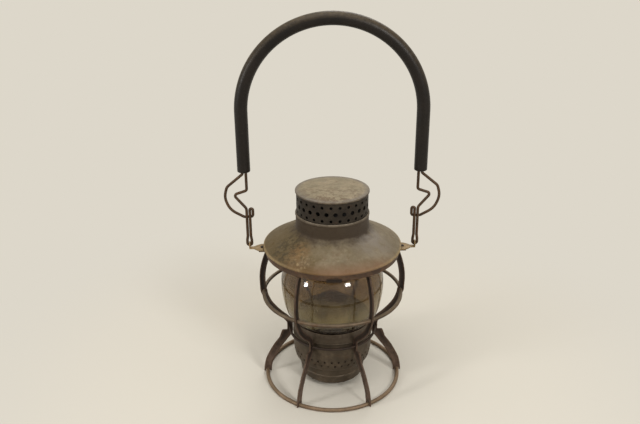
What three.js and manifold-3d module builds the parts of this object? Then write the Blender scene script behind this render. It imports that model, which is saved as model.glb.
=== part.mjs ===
// A short-globe railroad hand lantern, in millimetres, +Z up, standing on its base ring.
// The origin is the middle of the base ring, on the surface that the ring stands on.
import * as THREE from 'three';
import { mergeVertices } from 'three/addons/utils/BufferGeometryUtils.js';
import Module from 'manifold-3d';

const wasm = await Module();
wasm.setup();

// Fits and sheet
const clearance = 0.3;
const sheet = 0.9;
const overrun = 6;
const degree = Math.PI / 180;

// Steps round the large and the small turned pieces
const roundSteps = 30;
const innerSteps = 22;
const smallSteps = 12;

// Base ring of round wire
const baseRingRadius = 78;
const baseWire = 4.8;
const wireSides = 8;

// Ribs: flat stampings on edge, from the top ring round the globe and down to the base ring
const ribCount = 6;
const ribThickness = 1.8;
const cageDepth = 6.8;
const legDepth = 9;
const bulgeRadius = 83.2;
const eyeWall = 1.4;
const ribTopSet = 1.05;
const waistOverlap = 1;
const shoulderDrop = 3.4;
const shoulderReach = 9.6;
const kneeReach = 12.2;
const kneeDrop = 8;
const prongEnd = 1.2;

// Wires round the cage
const guardRise = 35.4;
const guardWire = 4.2;
const waistWire = 3;

// Burner housing: the globe plate and the perforated draft shell under it
const housingRadius = 46.3;
const housingBead = 0.5;
const seatHeight = 76.2;
const seatRim = 3.2;
const bandDepth = 14.2;
const plateLip = 2.2;
const plateHoleCount = 15;
const plateHoleRadius = 2;
const shellHeight = 32;
const shellMouthTaper = 2.4;
const shellCurveRise = 17;
const shellLedge = 2.2;
const lipBeadHeight = 1.4;
const airHoleCount = 36;
const airHoleRadius = 1.25;
const airRowRise = 12;
const airRowDrop = 5.7;

// Fount (oil pot) with its twist lock
const fountBottom = 5.6;
const fountRoom = 3.2;
const fountTaper = 1;
const fountCorner = 5;
const fountNeckRadius = 13;
const fountNeckRise = 8;
const fountNeckSet = 14;
const fountDish = 1;
const lugCount = 3;
const lugSpan = 10 * degree;
const lugThickness = 1.5;
const twist = 15 * degree;

// Burner
const collarHeight = 3.6;
const collarWall = 2.3;
const burnerRadius = 17;
const burnerFlange = 2.8;
const burnerCupHeight = 15;
const coneHeight = 40;
const coneMouth = 2.5;
const coneSlotWidth = 5;

// Wick and its raiser
const wickWidth = 13.2;
const wickThickness = 2.2;
const wickTopSet = 5;
const wickRest = 10.4;
const wickTubeWall = 0.6;
const wickTubeTopSet = 7.5;
const wickTubeDip = 4;
const shaftRise = 8.5;
const shaftRadius = 1.5;
const wheelRadius = 4.2;
const wheelToothDepth = 0.9;
const wheelTeeth = 12;
const wheelWidth = 2;
const wheelOffset = 4;
const knobRadius = 5.5;
const knobThickness = 4;
const knobFlutes = 16;
const knobFluteDepth = 0.35;
const knobReach = 3.4;

// Globe
const globeHeight = 84;
const globeWall = 2.4;
const globeBulge = 58.5;
const globeTopRadius = 40;

// Hood: brim, collar and perforated crown
const brimRadius = 77.1;
const brimRise = 10.85;
const brimBead = 1.5;
const brimPitch = 29 * degree;
const crownRadius = 40.4;
const collarRise = 39.85;
const collarBead = 0.6;
const collarBeadHeight = 3.6;
const collarFillet = 4;
const crownRise = 26.2;
const capSkirt = 1.4;
const capEdge = 1.4;
const ventCount = 26;
const smallVentRadius = 1.7;
const largeVentRadius = 2.4;
const ventRowPitch = 7.5;
const ventRowDrop = 1.6;
const bellSet = 5.2;
const bellRadius = 30;
const bellMouth = 24;
const bellTopSet = 10.4;
const globeCollarSeat = 37;
const globeCollarRadius = 53;

// Top ring (hoop) of the frame, hood catch and hood hinge
const hoopHeight = 6.6;
const hoopInset = 1;
const catchWidth = 16;
const catchDrop = 2.2;
const hingePinRadius = 1.2;
const hingeStandOff = 1.2;
const hingeDrop = 4.6;
const hingeKnuckle = 2.35;
const hingeWidth = 12.8;
const hingeEarThickness = 1.5;
const leafLength = 15;
const rivetRadius = 1.3;
const rivetHead = 2.3;
const rivetHeadHeight = 0.9;

// Bail: one wire with both ends butting inside the grip, looped through two ears
const bailWire = 3.1;
const earReach = 17.9;
const pivotRise = 0.65;
const bailHeight = 151.8;
const archLift = 2.5;
const gripRadius = 7;
const gripLeg = 64.5;
const wireEndGap = 4;
const loopSpread = 5;
const loopHeight = 6.2;
const linkHeight = 44.2;
const kinkReach = 14.4;
const bowReach = 26.4;
const archSteps = 16;
const bendStep = 30 * degree;

// Ears of the bail
const earThickness = 1.2;
const earBase = 9;
const earNeck = 2.6;
const earEye = 4;
const tabReach = 7.5;

// Heights, stacked up and down from the seat of the globe
const globeBottom = seatHeight + clearance;
const globeTop = globeBottom + globeHeight;
const guardRingHeight = seatHeight + guardRise;
const bandBottom = seatHeight - bandDepth;
const waistRingHeight = bandBottom + waistOverlap;
const ribWaistBottom = bandBottom - waistOverlap;
const shoulderHeight = bandBottom - shoulderDrop;
const shellMouthHeight = bandBottom - shellHeight;
const shellCurveHeight = shellMouthHeight + shellCurveRise;
const airRowHeight = shellMouthHeight + airRowRise;
const fountNeckTop = bandBottom - fountNeckSet;
const fountShoulder = fountNeckTop - fountNeckRise;
const burnerCupTop = fountNeckTop + burnerCupHeight;
const coneTop = burnerCupTop + coneHeight;
const wickTop = coneTop - wickTopSet;
const wickBottom = fountBottom + wickRest;
const wickTubeTop = coneTop - wickTubeTopSet;
const wickTubeBottom = fountNeckTop - wickTubeDip;
const shaftHeight = fountNeckTop + shaftRise;
const brimHeight = globeTop + brimRise;
const collarTop = brimHeight + collarRise;
const crownTop = collarTop + crownRise;
const bellHeight = collarTop - bellSet;
const bellTop = crownTop - bellTopSet;
const hoopTop = brimHeight - brimBead - clearance;
const hoopBottom = hoopTop - hoopHeight;
const ribTopHeight = hoopTop - ribTopSet;
const pivotHeight = hoopTop + pivotRise;
const linkTop = pivotHeight + linkHeight;
const archHeight = pivotHeight + bailHeight;
const gripEnd = archHeight - gripLeg;

// Radii and other sizes that follow from the ones above
const wireGap = bailWire + clearance + 0.1 * clearance;
const waistRingRadius = housingRadius + 2 * clearance + eyeWall + waistWire / 2;
const baseRingCentre = (baseWire / 2) * Math.cos(Math.PI / wireSides);
const beadCentre = brimRadius - brimBead;
const hoopOuter = beadCentre - hoopInset;
const hoopInner = hoopOuter - sheet - clearance;
const bulgeCentre = bulgeRadius - cageDepth / 2;
const housingWall = housingRadius - housingBead;
const fountRadius = housingWall - shellMouthTaper - shellLedge - fountRoom;
const shaftOffset = wickThickness / 2 + clearance + wheelRadius;
const plateHole = burnerRadius + burnerFlange + 2 * clearance;
const pivotOffset = hoopOuter + earReach;
const archRadius = pivotOffset + archLift;
const globeFootRadius = housingWall - sheet - 2 * clearance;

// Points along an arc in a radius and height plane
function arcPoints(centreRadius, centreHeight, radius, from, to, steps) {
  const points = [];
  for (let i = 0; i <= steps; i++) {
    const angle = from + ((to - from) * i) / steps;
    points.push([centreRadius + radius * Math.cos(angle), centreHeight + radius * Math.sin(angle)]);
  }
  return points;
}

// Turned solid about +Z. The profile is a list of [radius, height], closed on itself or on the axis
function revolve(profile, steps = roundSteps) {
  const onAxis = profile[0][0] === 0 && profile[profile.length - 1][0] === 0;
  const outline = onAxis ? profile.slice() : [...profile, profile[0]];
  let area = 0;
  outline.forEach(([radius, height], i) => {
    const [nextRadius, nextHeight] = outline[(i + 1) % outline.length];
    area += radius * nextHeight - nextRadius * height;
  });
  if (area < 0) outline.reverse();
  const points = outline.map(([radius, height]) => new THREE.Vector2(radius, height));
  return new THREE.LatheGeometry(points, steps).rotateX(Math.PI / 2).rotateZ(Math.PI / 2);
}

function solidOf(geometry) {
  const bare = geometry.clone();
  bare.deleteAttribute('normal');
  bare.deleteAttribute('uv');
  const merged = mergeVertices(bare);
  const corners = [];
  const index = merged.index.array;
  for (let i = 0; i < index.length; i += 3) {
    const [a, b, c] = [index[i], index[i + 1], index[i + 2]];
    if (a !== b && b !== c && c !== a) corners.push(a, b, c);
  }
  return new wasm.Manifold(new wasm.Mesh({
    numProp: 3,
    vertProperties: new Float32Array(merged.attributes.position.array),
    triVerts: new Uint32Array(corners),
  }));
}

function geometryOf(solid) {
  const { vertProperties, triVerts } = solid.getMesh();
  const geometry = new THREE.BufferGeometry();
  geometry.setAttribute('position', new THREE.BufferAttribute(new Float32Array(vertProperties), 3));
  geometry.setIndex(new THREE.BufferAttribute(new Uint32Array(triVerts), 1));
  geometry.computeVertexNormals();
  return geometry;
}

// A solid joined from several geometries, with others cut away
function carve(joined, cuts = []) {
  const body = joined.map(solidOf).reduce((sum, next) => sum.add(next));
  return geometryOf(cuts.map(solidOf).reduce((left, cut) => left.subtract(cut), body));
}

function box(sizeX, sizeY, sizeZ, x, y, z) {
  return new THREE.BoxGeometry(sizeX, sizeY, sizeZ).translate(x, y, z);
}

// Cylinder along X, Y or Z about a point
function rod(axis, radius, length, x, y, z, sides = smallSteps) {
  const geometry = new THREE.CylinderGeometry(radius, radius, length, sides);
  if (axis === 'x') geometry.rotateZ(Math.PI / 2);
  if (axis === 'z') geometry.rotateX(Math.PI / 2);
  return geometry.translate(x, y, z);
}

// Plate with its outline in radius and height, lying in the plane of the axis
function plateOnEdge(shape, thickness) {
  const geometry = new THREE.ExtrudeGeometry(shape, { depth: thickness, bevelEnabled: false });
  return geometry.translate(0, 0, -thickness / 2).rotateX(Math.PI / 2);
}

// Flat plate with its outline in plan, from one height up
function flatPlate(shape, thickness, height, curveSegments = smallSteps) {
  const geometry = new THREE.ExtrudeGeometry(shape, { depth: thickness, bevelEnabled: false, curveSegments });
  return geometry.translate(0, 0, height);
}

// Part of a flat annulus in plan
function sector(inner, outer, from, to) {
  const shape = new THREE.Shape();
  shape.absarc(0, 0, outer, from, to, false);
  shape.absarc(0, 0, inner, to, from, true);
  shape.closePath();
  return shape;
}

// Strip of even depth along a centre line
function ribbon(line, halfDepth, steps) {
  const near = [];
  const far = [];
  for (let i = 0; i <= steps; i++) {
    const point = line.getPointAt(i / steps);
    const tangent = line.getTangentAt(i / steps);
    const side = new THREE.Vector2(-tangent.y, tangent.x).multiplyScalar(halfDepth);
    near.push(point.clone().add(side));
    far.push(point.clone().sub(side));
  }
  return new THREE.Shape([...near, ...far.reverse()]);
}

function circlePoints(radius, sides) {
  const points = [];
  for (let i = 0; i < sides; i++) {
    const angle = ((i + 0.5) * 2 * Math.PI) / sides;
    points.push(new THREE.Vector2(radius * Math.cos(angle), radius * Math.sin(angle)));
  }
  return points;
}

// Ring of round wire about +Z, with flat facets above and below
function wireRing(ringRadius, height, wire, sides, steps = roundSteps) {
  const half = Math.PI / sides;
  const profile = arcPoints(ringRadius, height, wire / 2, half, 2 * Math.PI - half, sides - 1);
  return revolve(profile, steps);
}

// Circular bend between two straight stretches of wire
class Bend extends THREE.Curve {
  constructor(centre, first, second, angle) {
    super();
    Object.assign(this, { centre, first, second, angle });
  }

  getPoint(t) {
    const turn = t * this.angle;
    return this.centre.clone()
      .addScaledVector(this.first, Math.cos(turn))
      .addScaledVector(this.second, Math.sin(turn));
  }
}

// Stretches in a row, each with its own number of steps
class SteppedPath extends THREE.Curve {
  constructor(stretches) {
    super();
    this.stretches = stretches;
    this.steps = stretches.reduce((sum, { steps }) => sum + steps, 0);
  }

  getPoint(t) {
    let place = t * this.steps;
    let number = 0;
    while (number < this.stretches.length - 1 && place > this.stretches[number].steps) {
      place -= this.stretches[number].steps;
      number += 1;
    }
    const { curve, steps } = this.stretches[number];
    return curve.getPoint(place / steps);
  }

  getUtoTmapping(u) {
    return u;
  }
}

// Wire bent at each corner to that corner's radius. The first and last corners are its ends
function bentWire(corners) {
  const stretches = [];
  let from = corners[0].at;
  for (let i = 1; i < corners.length - 1; i++) {
    const { at, radius } = corners[i];
    const back = corners[i - 1].at.clone().sub(at).normalize();
    const ahead = corners[i + 1].at.clone().sub(at).normalize();
    const turn = Math.PI - back.angleTo(ahead);
    const trim = radius * Math.tan(turn / 2);
    const start = at.clone().addScaledVector(back, trim);
    const middle = back.clone().add(ahead).normalize();
    const centre = at.clone().addScaledVector(middle, radius / Math.cos(turn / 2));
    const first = start.clone().sub(centre);
    const second = back.clone().multiplyScalar(-radius);
    stretches.push({ curve: new THREE.LineCurve3(from, start), steps: 1 });
    stretches.push({ curve: new Bend(centre, first, second, turn), steps: Math.ceil(turn / bendStep) });
    from = at.clone().addScaledVector(ahead, trim);
  }
  stretches.push({ curve: new THREE.LineCurve3(from, corners[corners.length - 1].at), steps: 1 });
  return stretches;
}

// Arc in the plane of the bail, about the middle of its arch, counted from +X up
function archArc(radius, from, to, steps) {
  const centre = new THREE.Vector3(0, 0, archHeight);
  const sense = Math.sign(to - from);
  const first = new THREE.Vector3(Math.cos(from), 0, Math.sin(from)).multiplyScalar(radius);
  const second = new THREE.Vector3(-Math.sin(from), 0, Math.cos(from)).multiplyScalar(sense * radius);
  return { curve: new Bend(centre, first, second, Math.abs(to - from)), steps };
}

function tubeAlong(stretches, outline, bore) {
  const shape = new THREE.Shape(outline);
  if (bore) shape.holes.push(new THREE.Path(bore));
  const extrudePath = new SteppedPath(stretches);
  return new THREE.ExtrudeGeometry(shape, { steps: extrudePath.steps, bevelEnabled: false, extrudePath });
}

// Centre line of a rib round the globe, from the top ring to the waist, as shares of the way
// out from the waist to the bulge and up from the waist to the rib's top
const cageLineShares = [
  [0.891, 0.82], [0.993, 0.679], [1, 0.549], [0.957, 0.456], [0.819, 0.348],
  [0.622, 0.266], [0.375, 0.192], [0.132, 0.132], [0.013, 0.079], [0, 0],
];
// Centre line of a leg, as shares of the way out and down from the waist to the foot
const legLineShares = [
  [0, 0], [0.185, 0.128], [0.362, 0.254], [0.609, 0.429], [0.798, 0.604], [0.918, 0.741], [0.985, 0.9], [1, 1],
];
const legStartInset = 1.6;

function cageLine() {
  const rise = ribTopHeight - ribWaistBottom;
  const reach = bulgeCentre - waistRingRadius;
  const points = cageLineShares.map(([out, up]) => (
    new THREE.Vector2(waistRingRadius + out * reach, ribWaistBottom + up * rise)
  ));
  const top = new THREE.Vector2(hoopInner - clearance - cageDepth / 2, ribTopHeight);
  return new THREE.SplineCurve([top, ...points]);
}

function legLine() {
  const start = new THREE.Vector2(waistRingRadius - legStartInset, ribWaistBottom);
  const end = new THREE.Vector2(baseRingRadius, prongEnd);
  return new THREE.SplineCurve(legLineShares.map(([out, down]) => new THREE.Vector2(
    start.x + out * (end.x - start.x),
    start.y + down * (end.y - start.y),
  )));
}

// Radius of a centre line at a height on the way down it
function radiusAt(line, height) {
  const points = line.getPoints(4 * roundSteps);
  const next = points.findIndex((point) => point.y < height);
  const [above, below] = [points[next - 1], points[next]];
  const share = (above.y - height) / (above.y - below.y);
  return above.x + share * (below.x - above.x);
}

const guardRingRadius = radiusAt(cageLine(), guardRingHeight);

const cageSteps = 11;
const legSteps = 6;

function ribGeometry() {
  const cage = cageLine();
  const leg = legLine();
  const full = 2 * overrun;
  const legRoom = box(full + legDepth, full, full, waistRingRadius, 0, shoulderHeight + overrun);
  const legStrip = carve([plateOnEdge(ribbon(leg, legDepth / 2, legSteps), ribThickness)], [legRoom]);
  const knee = plateOnEdge(new THREE.Shape([
    new THREE.Vector2(waistRingRadius, shoulderHeight),
    new THREE.Vector2(waistRingRadius, shoulderHeight - cageDepth / 2),
    new THREE.Vector2(waistRingRadius + cageDepth, shoulderHeight - kneeDrop),
    new THREE.Vector2(waistRingRadius + kneeReach, shoulderHeight - kneeDrop),
    new THREE.Vector2(waistRingRadius + shoulderReach, shoulderHeight),
  ]), ribThickness);
  const cageStrip = plateOnEdge(ribbon(cage, cageDepth / 2, cageSteps), ribThickness);
  const waistBlock = plateOnEdge(new THREE.Shape([
    new THREE.Vector2(waistRingRadius - cageDepth / 2, shoulderHeight - cageDepth / 2),
    new THREE.Vector2(waistRingRadius + cageDepth / 2, shoulderHeight - cageDepth / 2),
    new THREE.Vector2(waistRingRadius + cageDepth / 2, waistRingHeight + cageDepth / 2),
    new THREE.Vector2(waistRingRadius - cageDepth / 2, waistRingHeight + cageDepth / 2),
  ]), ribThickness);
  const guardEye = rod('y', guardWire / 2 + clearance + eyeWall, ribThickness, guardRingRadius, 0, guardRingHeight);
  const footBlock = plateOnEdge(new THREE.Shape([
    new THREE.Vector2(baseRingRadius - legDepth / 2, prongEnd),
    new THREE.Vector2(baseRingRadius + legDepth / 2, prongEnd),
    new THREE.Vector2(baseRingRadius + legDepth / 2, baseWire + legDepth / 2),
    new THREE.Vector2(baseRingRadius - legDepth / 2, baseWire + legDepth / 2),
  ]), ribThickness);
  const slotRadius = baseWire / 2 + clearance;
  const slot = rod('y', slotRadius, full, baseRingRadius, 0, baseRingCentre);
  const slotMouth = box(2 * slotRadius, full, full, baseRingRadius, 0, baseRingCentre - overrun);
  const guardBore = rod('y', guardWire / 2 + clearance, full, guardRingRadius, 0, guardRingHeight);
  const waistBore = rod('y', waistWire / 2 + clearance, full, waistRingRadius, 0, waistRingHeight);
  const housingRoom = revolve([
    [0, shellMouthHeight - overrun],
    [housingRadius + clearance, shellMouthHeight - overrun],
    [housingRadius + clearance, seatHeight + seatRim + overrun],
    [0, seatHeight + seatRim + overrun],
  ], 2 * innerSteps);
  const hoopRoom = revolve([
    [hoopInner - clearance, hoopBottom - clearance],
    [hoopOuter + overrun, hoopBottom - clearance],
    [hoopOuter + overrun, hoopTop + overrun],
    [hoopInner - clearance, hoopTop + overrun],
  ], 2 * innerSteps);
  return carve(
    [cageStrip, legStrip, knee, waistBlock, guardEye, footBlock],
    [slot, slotMouth, guardBore, waistBore, housingRoom, hoopRoom],
  );
}

// Top ring: a hoop with a riveting tab under each ear
const earHeight = pivotHeight - earEye - clearance;
const earRivetOffset = hoopOuter + tabReach / 2 + clearance;

function topRingGeometry() {
  const hoop = revolve([
    [hoopInner, hoopBottom],
    [hoopOuter, hoopBottom],
    [hoopOuter, hoopTop],
    [hoopInner, hoopTop],
  ]);
  const tabTop = earHeight - clearance;
  const reach = tabReach + sheet;
  const tabs = [-1, 1].map((side) => box(
    reach, 2 * earNeck + earBase, earThickness,
    side * (hoopInner + sheet / 2 + reach / 2), 0, tabTop - earThickness / 2,
  ));
  const holes = [-1, 1].map((side) => (
    rod('z', rivetRadius + clearance, 2 * overrun, side * earRivetOffset, 0, tabTop, smallSteps / 2)
  ));
  return carve([hoop, ...tabs], holes);
}

// Ear on the +X side: a tapered tongue with its end turned up into an eye
const tongueShares = [[0, 1], [0.3, 0.95], [0.5, 0.72], [0.66, 0.4]];

function earGeometry() {
  const inner = hoopOuter + clearance;
  const faceOffset = pivotOffset - earThickness / 2;
  const neckStart = pivotOffset - loopSpread / 2 - bailWire / 2 - 2 * clearance;
  const length = faceOffset + earThickness - inner;
  const side = tongueShares.map(([along, wide]) => new THREE.Vector2(inner + along * length, wide * earBase));
  const half = [...side, new THREE.Vector2(neckStart, earNeck), new THREE.Vector2(faceOffset + earThickness, earNeck)];
  const mirrored = half.map(({ x, y }) => new THREE.Vector2(x, -y)).reverse();
  const tongue = flatPlate(new THREE.Shape([...mirrored, ...half]), earThickness, earHeight);
  const stem = box(earThickness, 2 * earNeck, pivotHeight - earHeight, pivotOffset, 0, (pivotHeight + earHeight) / 2);
  const eye = rod('x', earEye, earThickness, pivotOffset, 0, pivotHeight);
  const eyeBore = rod('x', bailWire / 2 + 1.5 * clearance, 2 * overrun, pivotOffset, 0, pivotHeight);
  const rivetHole = rod('z', rivetRadius + clearance, 2 * overrun, earRivetOffset, 0, earHeight, smallSteps / 2);
  return carve([tongue, stem, eye], [eyeBore, rivetHole]);
}

// Rivet along +Z through a stack from z = 0 down to -grip, with a domed head at each end
function rivetGeometry(grip) {
  const top = clearance;
  const bottom = -grip - clearance;
  return revolve([
    [0, bottom - rivetHeadHeight],
    [rivetHead / 2, bottom - rivetHeadHeight],
    [rivetHead, bottom - rivetHeadHeight / 3],
    [rivetHead, bottom],
    [rivetRadius, bottom],
    [rivetRadius, top],
    [rivetHead, top],
    [rivetHead, top + rivetHeadHeight / 3],
    [rivetHead / 2, top + rivetHeadHeight],
    [0, top + rivetHeadHeight],
  ], smallSteps / 2);
}

// Catch at the front: a spring clip round the hoop's lower edge that rises inside the brim
function catchGeometry() {
  const half = catchWidth / 2;
  const innerFace = Math.sqrt(hoopInner ** 2 - half ** 2) - clearance;
  const outerFace = hoopOuter + clearance;
  const noseFace = Math.sqrt((beadCentre - brimBead - 2 * clearance) ** 2 - half ** 2);
  const leafTop = brimHeight + brimBead;
  const clipBottom = hoopBottom - clearance;
  const outline = [
    [innerFace - sheet, clipBottom - sheet],
    [outerFace + sheet, clipBottom - sheet],
    [outerFace + sheet, hoopBottom + catchDrop + sheet],
    [outerFace, hoopBottom + catchDrop],
    [outerFace, clipBottom],
    [innerFace, clipBottom],
    [innerFace, hoopTop + clearance],
    [Math.min(noseFace, innerFace + sheet), brimHeight],
    [innerFace, leafTop],
    [innerFace - sheet, leafTop],
    [Math.min(noseFace, innerFace + sheet) - sheet, brimHeight],
    [innerFace - sheet, hoopTop],
  ];
  const shape = new THREE.Shape(outline.map(([radius, height]) => new THREE.Vector2(radius, height)));
  return plateOnEdge(shape, catchWidth);
}

// Hinge at the back, along X, just outside the brim's rolled edge
const hingeRadius = brimRadius + hingeStandOff;
const hingeHeight = brimHeight - hingeDrop;
const hingePinLength = hingeWidth + 2 * (hingeEarThickness + 2 * clearance) + 2 * sheet;

function hingeLugGeometry() {
  const webInner = hoopOuter + clearance;
  const webOuter = webInner + sheet;
  const width = hingeWidth + 2 * (hingeEarThickness + clearance);
  const webHeight = hoopHeight - 2 * sheet;
  const web = box(width, sheet, webHeight, 0, (webInner + webOuter) / 2, hoopTop - webHeight / 2 - clearance);
  const ears = [-1, 1].flatMap((side) => {
    const x = side * (hingeWidth / 2 + clearance + hingeEarThickness / 2);
    const reach = hingeRadius - webInner;
    return [
      box(hingeEarThickness, reach, 2 * hingeKnuckle - sheet, x, webInner + reach / 2, hingeHeight),
      rod('x', hingeKnuckle, hingeEarThickness, x, hingeRadius, hingeHeight),
    ];
  });
  const leafRoom = rod('x', hingeKnuckle + clearance, hingeWidth + 2 * clearance, 0, hingeRadius, hingeHeight);
  const pinBore = rod('x', hingePinRadius + clearance, 2 * width, 0, hingeRadius, hingeHeight);
  const brimRoom = box(2 * width, 2 * overrun, overrun, 0, webInner, hoopTop + overrun / 2);
  return carve([web, ...ears], [leafRoom, pinBore, brimRoom]);
}

// Hood half of the hinge: knuckle, strap up behind the brim's edge, and leaf on the brim
const coneRise = Math.tan(brimPitch);
const coneStart = { radius: beadCentre + brimBead * Math.sin(brimPitch), height: brimHeight + brimBead * Math.cos(brimPitch) };

function brimOuterHeight(radius) {
  return coneStart.height + (coneStart.radius - radius) * coneRise;
}

function hingeLeafGeometry() {
  const strapInner = brimRadius + clearance;
  const lift = clearance / Math.cos(brimPitch) + clearance;
  const thick = sheet / Math.cos(brimPitch);
  const leafEnd = strapInner - leafLength;
  const elbow = brimOuterHeight(beadCentre) + lift;
  const outline = [
    [strapInner, hingeHeight],
    [strapInner + sheet, hingeHeight],
    [strapInner + sheet, elbow],
    [beadCentre, elbow + thick],
    [leafEnd, brimOuterHeight(leafEnd) + lift + thick],
    [leafEnd, brimOuterHeight(leafEnd) + lift],
    [beadCentre, elbow],
    [strapInner, elbow - brimBead / 2],
  ];
  const shape = new THREE.Shape(outline.map(([radius, height]) => new THREE.Vector2(radius, height)));
  const strap = plateOnEdge(shape, hingeWidth - 2 * clearance).rotateZ(Math.PI / 2);
  const knuckle = rod('x', hingeKnuckle, hingeWidth, 0, hingeRadius, hingeHeight);
  const pinBore = rod('x', hingePinRadius + clearance, 2 * hingeWidth, 0, hingeRadius, hingeHeight);
  return carve([strap, knuckle], [pinBore]);
}

function hingePinGeometry() {
  return rod('x', hingePinRadius, hingePinLength, 0, hingeRadius, hingeHeight, smallSteps / 2);
}

// Globe plate: outer band, seat for the globe, and a perforated floor with the burner's hole
function globePlateGeometry() {
  const rimTop = seatHeight + seatRim;
  const inner = housingWall - sheet;
  const plate = revolve([
    [housingWall, bandBottom],
    [housingWall, rimTop - sheet / 2],
    [housingWall - sheet / 2, rimTop],
    [inner, rimTop - sheet / 2],
    [inner, seatHeight],
    [plateHole, seatHeight],
    [plateHole, seatHeight - plateLip],
    [plateHole + sheet, seatHeight - plateLip],
    [plateHole + sheet, seatHeight - sheet],
    [inner, seatHeight - sheet],
    [inner, bandBottom],
  ]);
  const holeRing = (plateHole + sheet + globeFootRadius - globeWall) / 2;
  const holes = [];
  for (let i = 0; i < plateHoleCount; i++) {
    const angle = (i * 2 * Math.PI) / plateHoleCount;
    const place = [holeRing * Math.cos(angle), holeRing * Math.sin(angle)];
    holes.push(rod('z', plateHoleRadius, overrun / 2, ...place, seatHeight - sheet / 2, wireSides - 2));
  }
  return carve([plate], holes);
}

// Profile of the draft shell's wall, as shares of its drop and of its taper in to the mouth
const shellCurveShares = [[0, 0], [0.5, 0.25], [1, 1]];

function radialHole(radius, wallRadius, angle, height, sides) {
  return rod('y', radius, overrun, 0, wallRadius, height, sides).rotateZ(angle);
}

function draftShellGeometry() {
  const top = bandBottom - clearance;
  const beadBottom = top - sheet - lipBeadHeight;
  const drop = shellCurveHeight - shellMouthHeight;
  const curve = shellCurveShares.map(([down, inward]) => (
    [housingWall - inward * shellMouthTaper, shellCurveHeight - down * drop]
  ));
  const mouth = housingWall - shellMouthTaper;
  const outer = [...curve].reverse();
  const inner = curve.slice(0, -1).map(([radius, height]) => [radius - sheet, height]);
  const shell = revolve([
    ...outer,
    [housingWall, beadBottom],
    [housingRadius, beadBottom + lipBeadHeight / 3],
    [housingRadius, top - sheet / 2],
    [housingWall, top],
    [housingWall - sheet - 2 * shellLedge, top],
    [housingWall - sheet - 2 * shellLedge, top - sheet],
    [housingWall - sheet, top - sheet],
    ...inner,
    [mouth - sheet, shellMouthHeight + sheet],
    [mouth - shellLedge, shellMouthHeight + sheet],
    [mouth - shellLedge, shellMouthHeight],
  ], airHoleCount).rotateZ(Math.PI / airHoleCount / 2);
  const cuts = [];
  for (let i = 0; i < airHoleCount; i++) {
    const angle = (i * 2 * Math.PI) / airHoleCount;
    const half = Math.PI / airHoleCount;
    cuts.push(radialHole(airHoleRadius, housingWall, angle, airRowHeight, wireSides / 2));
    cuts.push(radialHole(airHoleRadius, housingWall, angle + half, airRowHeight - airRowDrop, wireSides / 2));
  }
  const notchSpan = lugSpan / 2 + 1.5 * degree;
  const lugAngle = (2 * Math.PI) / lugCount;
  for (let i = 0; i < lugCount; i++) {
    const middle = i * lugAngle - Math.PI / 2 + twist;
    const notch = sector(mouth - shellLedge - sheet, mouth - sheet, middle - notchSpan, middle + notchSpan);
    cuts.push(flatPlate(notch, 2 * sheet, shellMouthHeight - sheet / 2, wireSides));
  }
  const shaftAngle = Math.acos(shaftOffset / housingWall);
  const slotHalf = (shaftRadius + 2 * clearance) / housingWall;
  const slotHeight = 2 * (shaftRadius + 2 * clearance);
  const track = sector(
    housingWall - overrun / 2, housingRadius + overrun,
    shaftAngle - slotHalf, shaftAngle + twist + slotHalf,
  );
  cuts.push(flatPlate(track, slotHeight, shaftHeight - slotHeight / 2, wireSides));
  const channel = sector(
    mouth - shellLedge - sheet, housingRadius + overrun,
    shaftAngle + twist - slotHalf, shaftAngle + twist + slotHalf,
  );
  const channelDrop = shaftHeight - shellMouthHeight + overrun;
  cuts.push(flatPlate(channel, channelDrop, shaftHeight - channelDrop, wireSides / 2));
  return carve([shell], cuts);
}

// Fount: a drawn pot with a dished bottom, a sloping shoulder, a neck and three twist-lock lugs
function fountGeometry() {
  const corner = fountRadius - fountTaper - fountCorner;
  const bottomArc = arcPoints(corner, fountBottom + fountCorner, fountCorner, -Math.PI / 2, 0, 3);
  const innerArc = arcPoints(corner, fountBottom + fountCorner, fountCorner - sheet, 0, -Math.PI / 2, 3);
  const dishEdge = corner - fountCorner;
  const neckFoot = fountNeckTop - 2 * sheet;
  const sideTop = fountShoulder;
  const pot = revolve([
    [0, fountBottom + fountDish],
    [dishEdge - fountDish, fountBottom + fountDish],
    [dishEdge, fountBottom],
    ...bottomArc,
    [fountRadius, shellMouthHeight],
    [fountRadius, sideTop],
    [fountRadius - 2 * sheet, sideTop + 2 * sheet],
    [fountNeckRadius, neckFoot],
    [fountNeckRadius, fountNeckTop],
    [fountNeckRadius - sheet, fountNeckTop],
    [fountNeckRadius - sheet, neckFoot - sheet],
    [fountRadius - 2.4 * sheet, sideTop + sheet],
    [fountRadius - sheet, sideTop],
    [fountRadius - sheet, shellMouthHeight],
    ...innerArc,
    [dishEdge, fountBottom + sheet],
    [dishEdge - fountDish, fountBottom + fountDish + sheet],
    [0, fountBottom + fountDish + sheet],
  ], innerSteps);
  const mouth = housingWall - shellMouthTaper;
  const lugHeight = shellMouthHeight + sheet + clearance;
  const lugAngle = (2 * Math.PI) / lugCount;
  const lugs = [];
  for (let i = 0; i < lugCount; i++) {
    const middle = i * lugAngle - Math.PI / 2;
    const reach = mouth - 2 * sheet;
    const lug = sector(fountRadius - sheet / 2, reach, middle - lugSpan / 2, middle + lugSpan / 2);
    lugs.push(flatPlate(lug, lugThickness, lugHeight, 2));
  }
  return carve([pot, ...lugs]);
}

// Brass collar soldered round the fount's neck
function burnerCollarGeometry() {
  const inner = fountNeckRadius + clearance;
  const bottom = fountNeckTop - 2 * sheet + clearance;
  const top = fountNeckTop + clearance + sheet;
  return revolve([
    [inner, bottom],
    [inner + collarWall, bottom],
    [inner + collarWall, bottom + collarHeight / 2],
    [inner + collarWall / 2, top],
    [inner, top],
  ], innerSteps);
}

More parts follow.
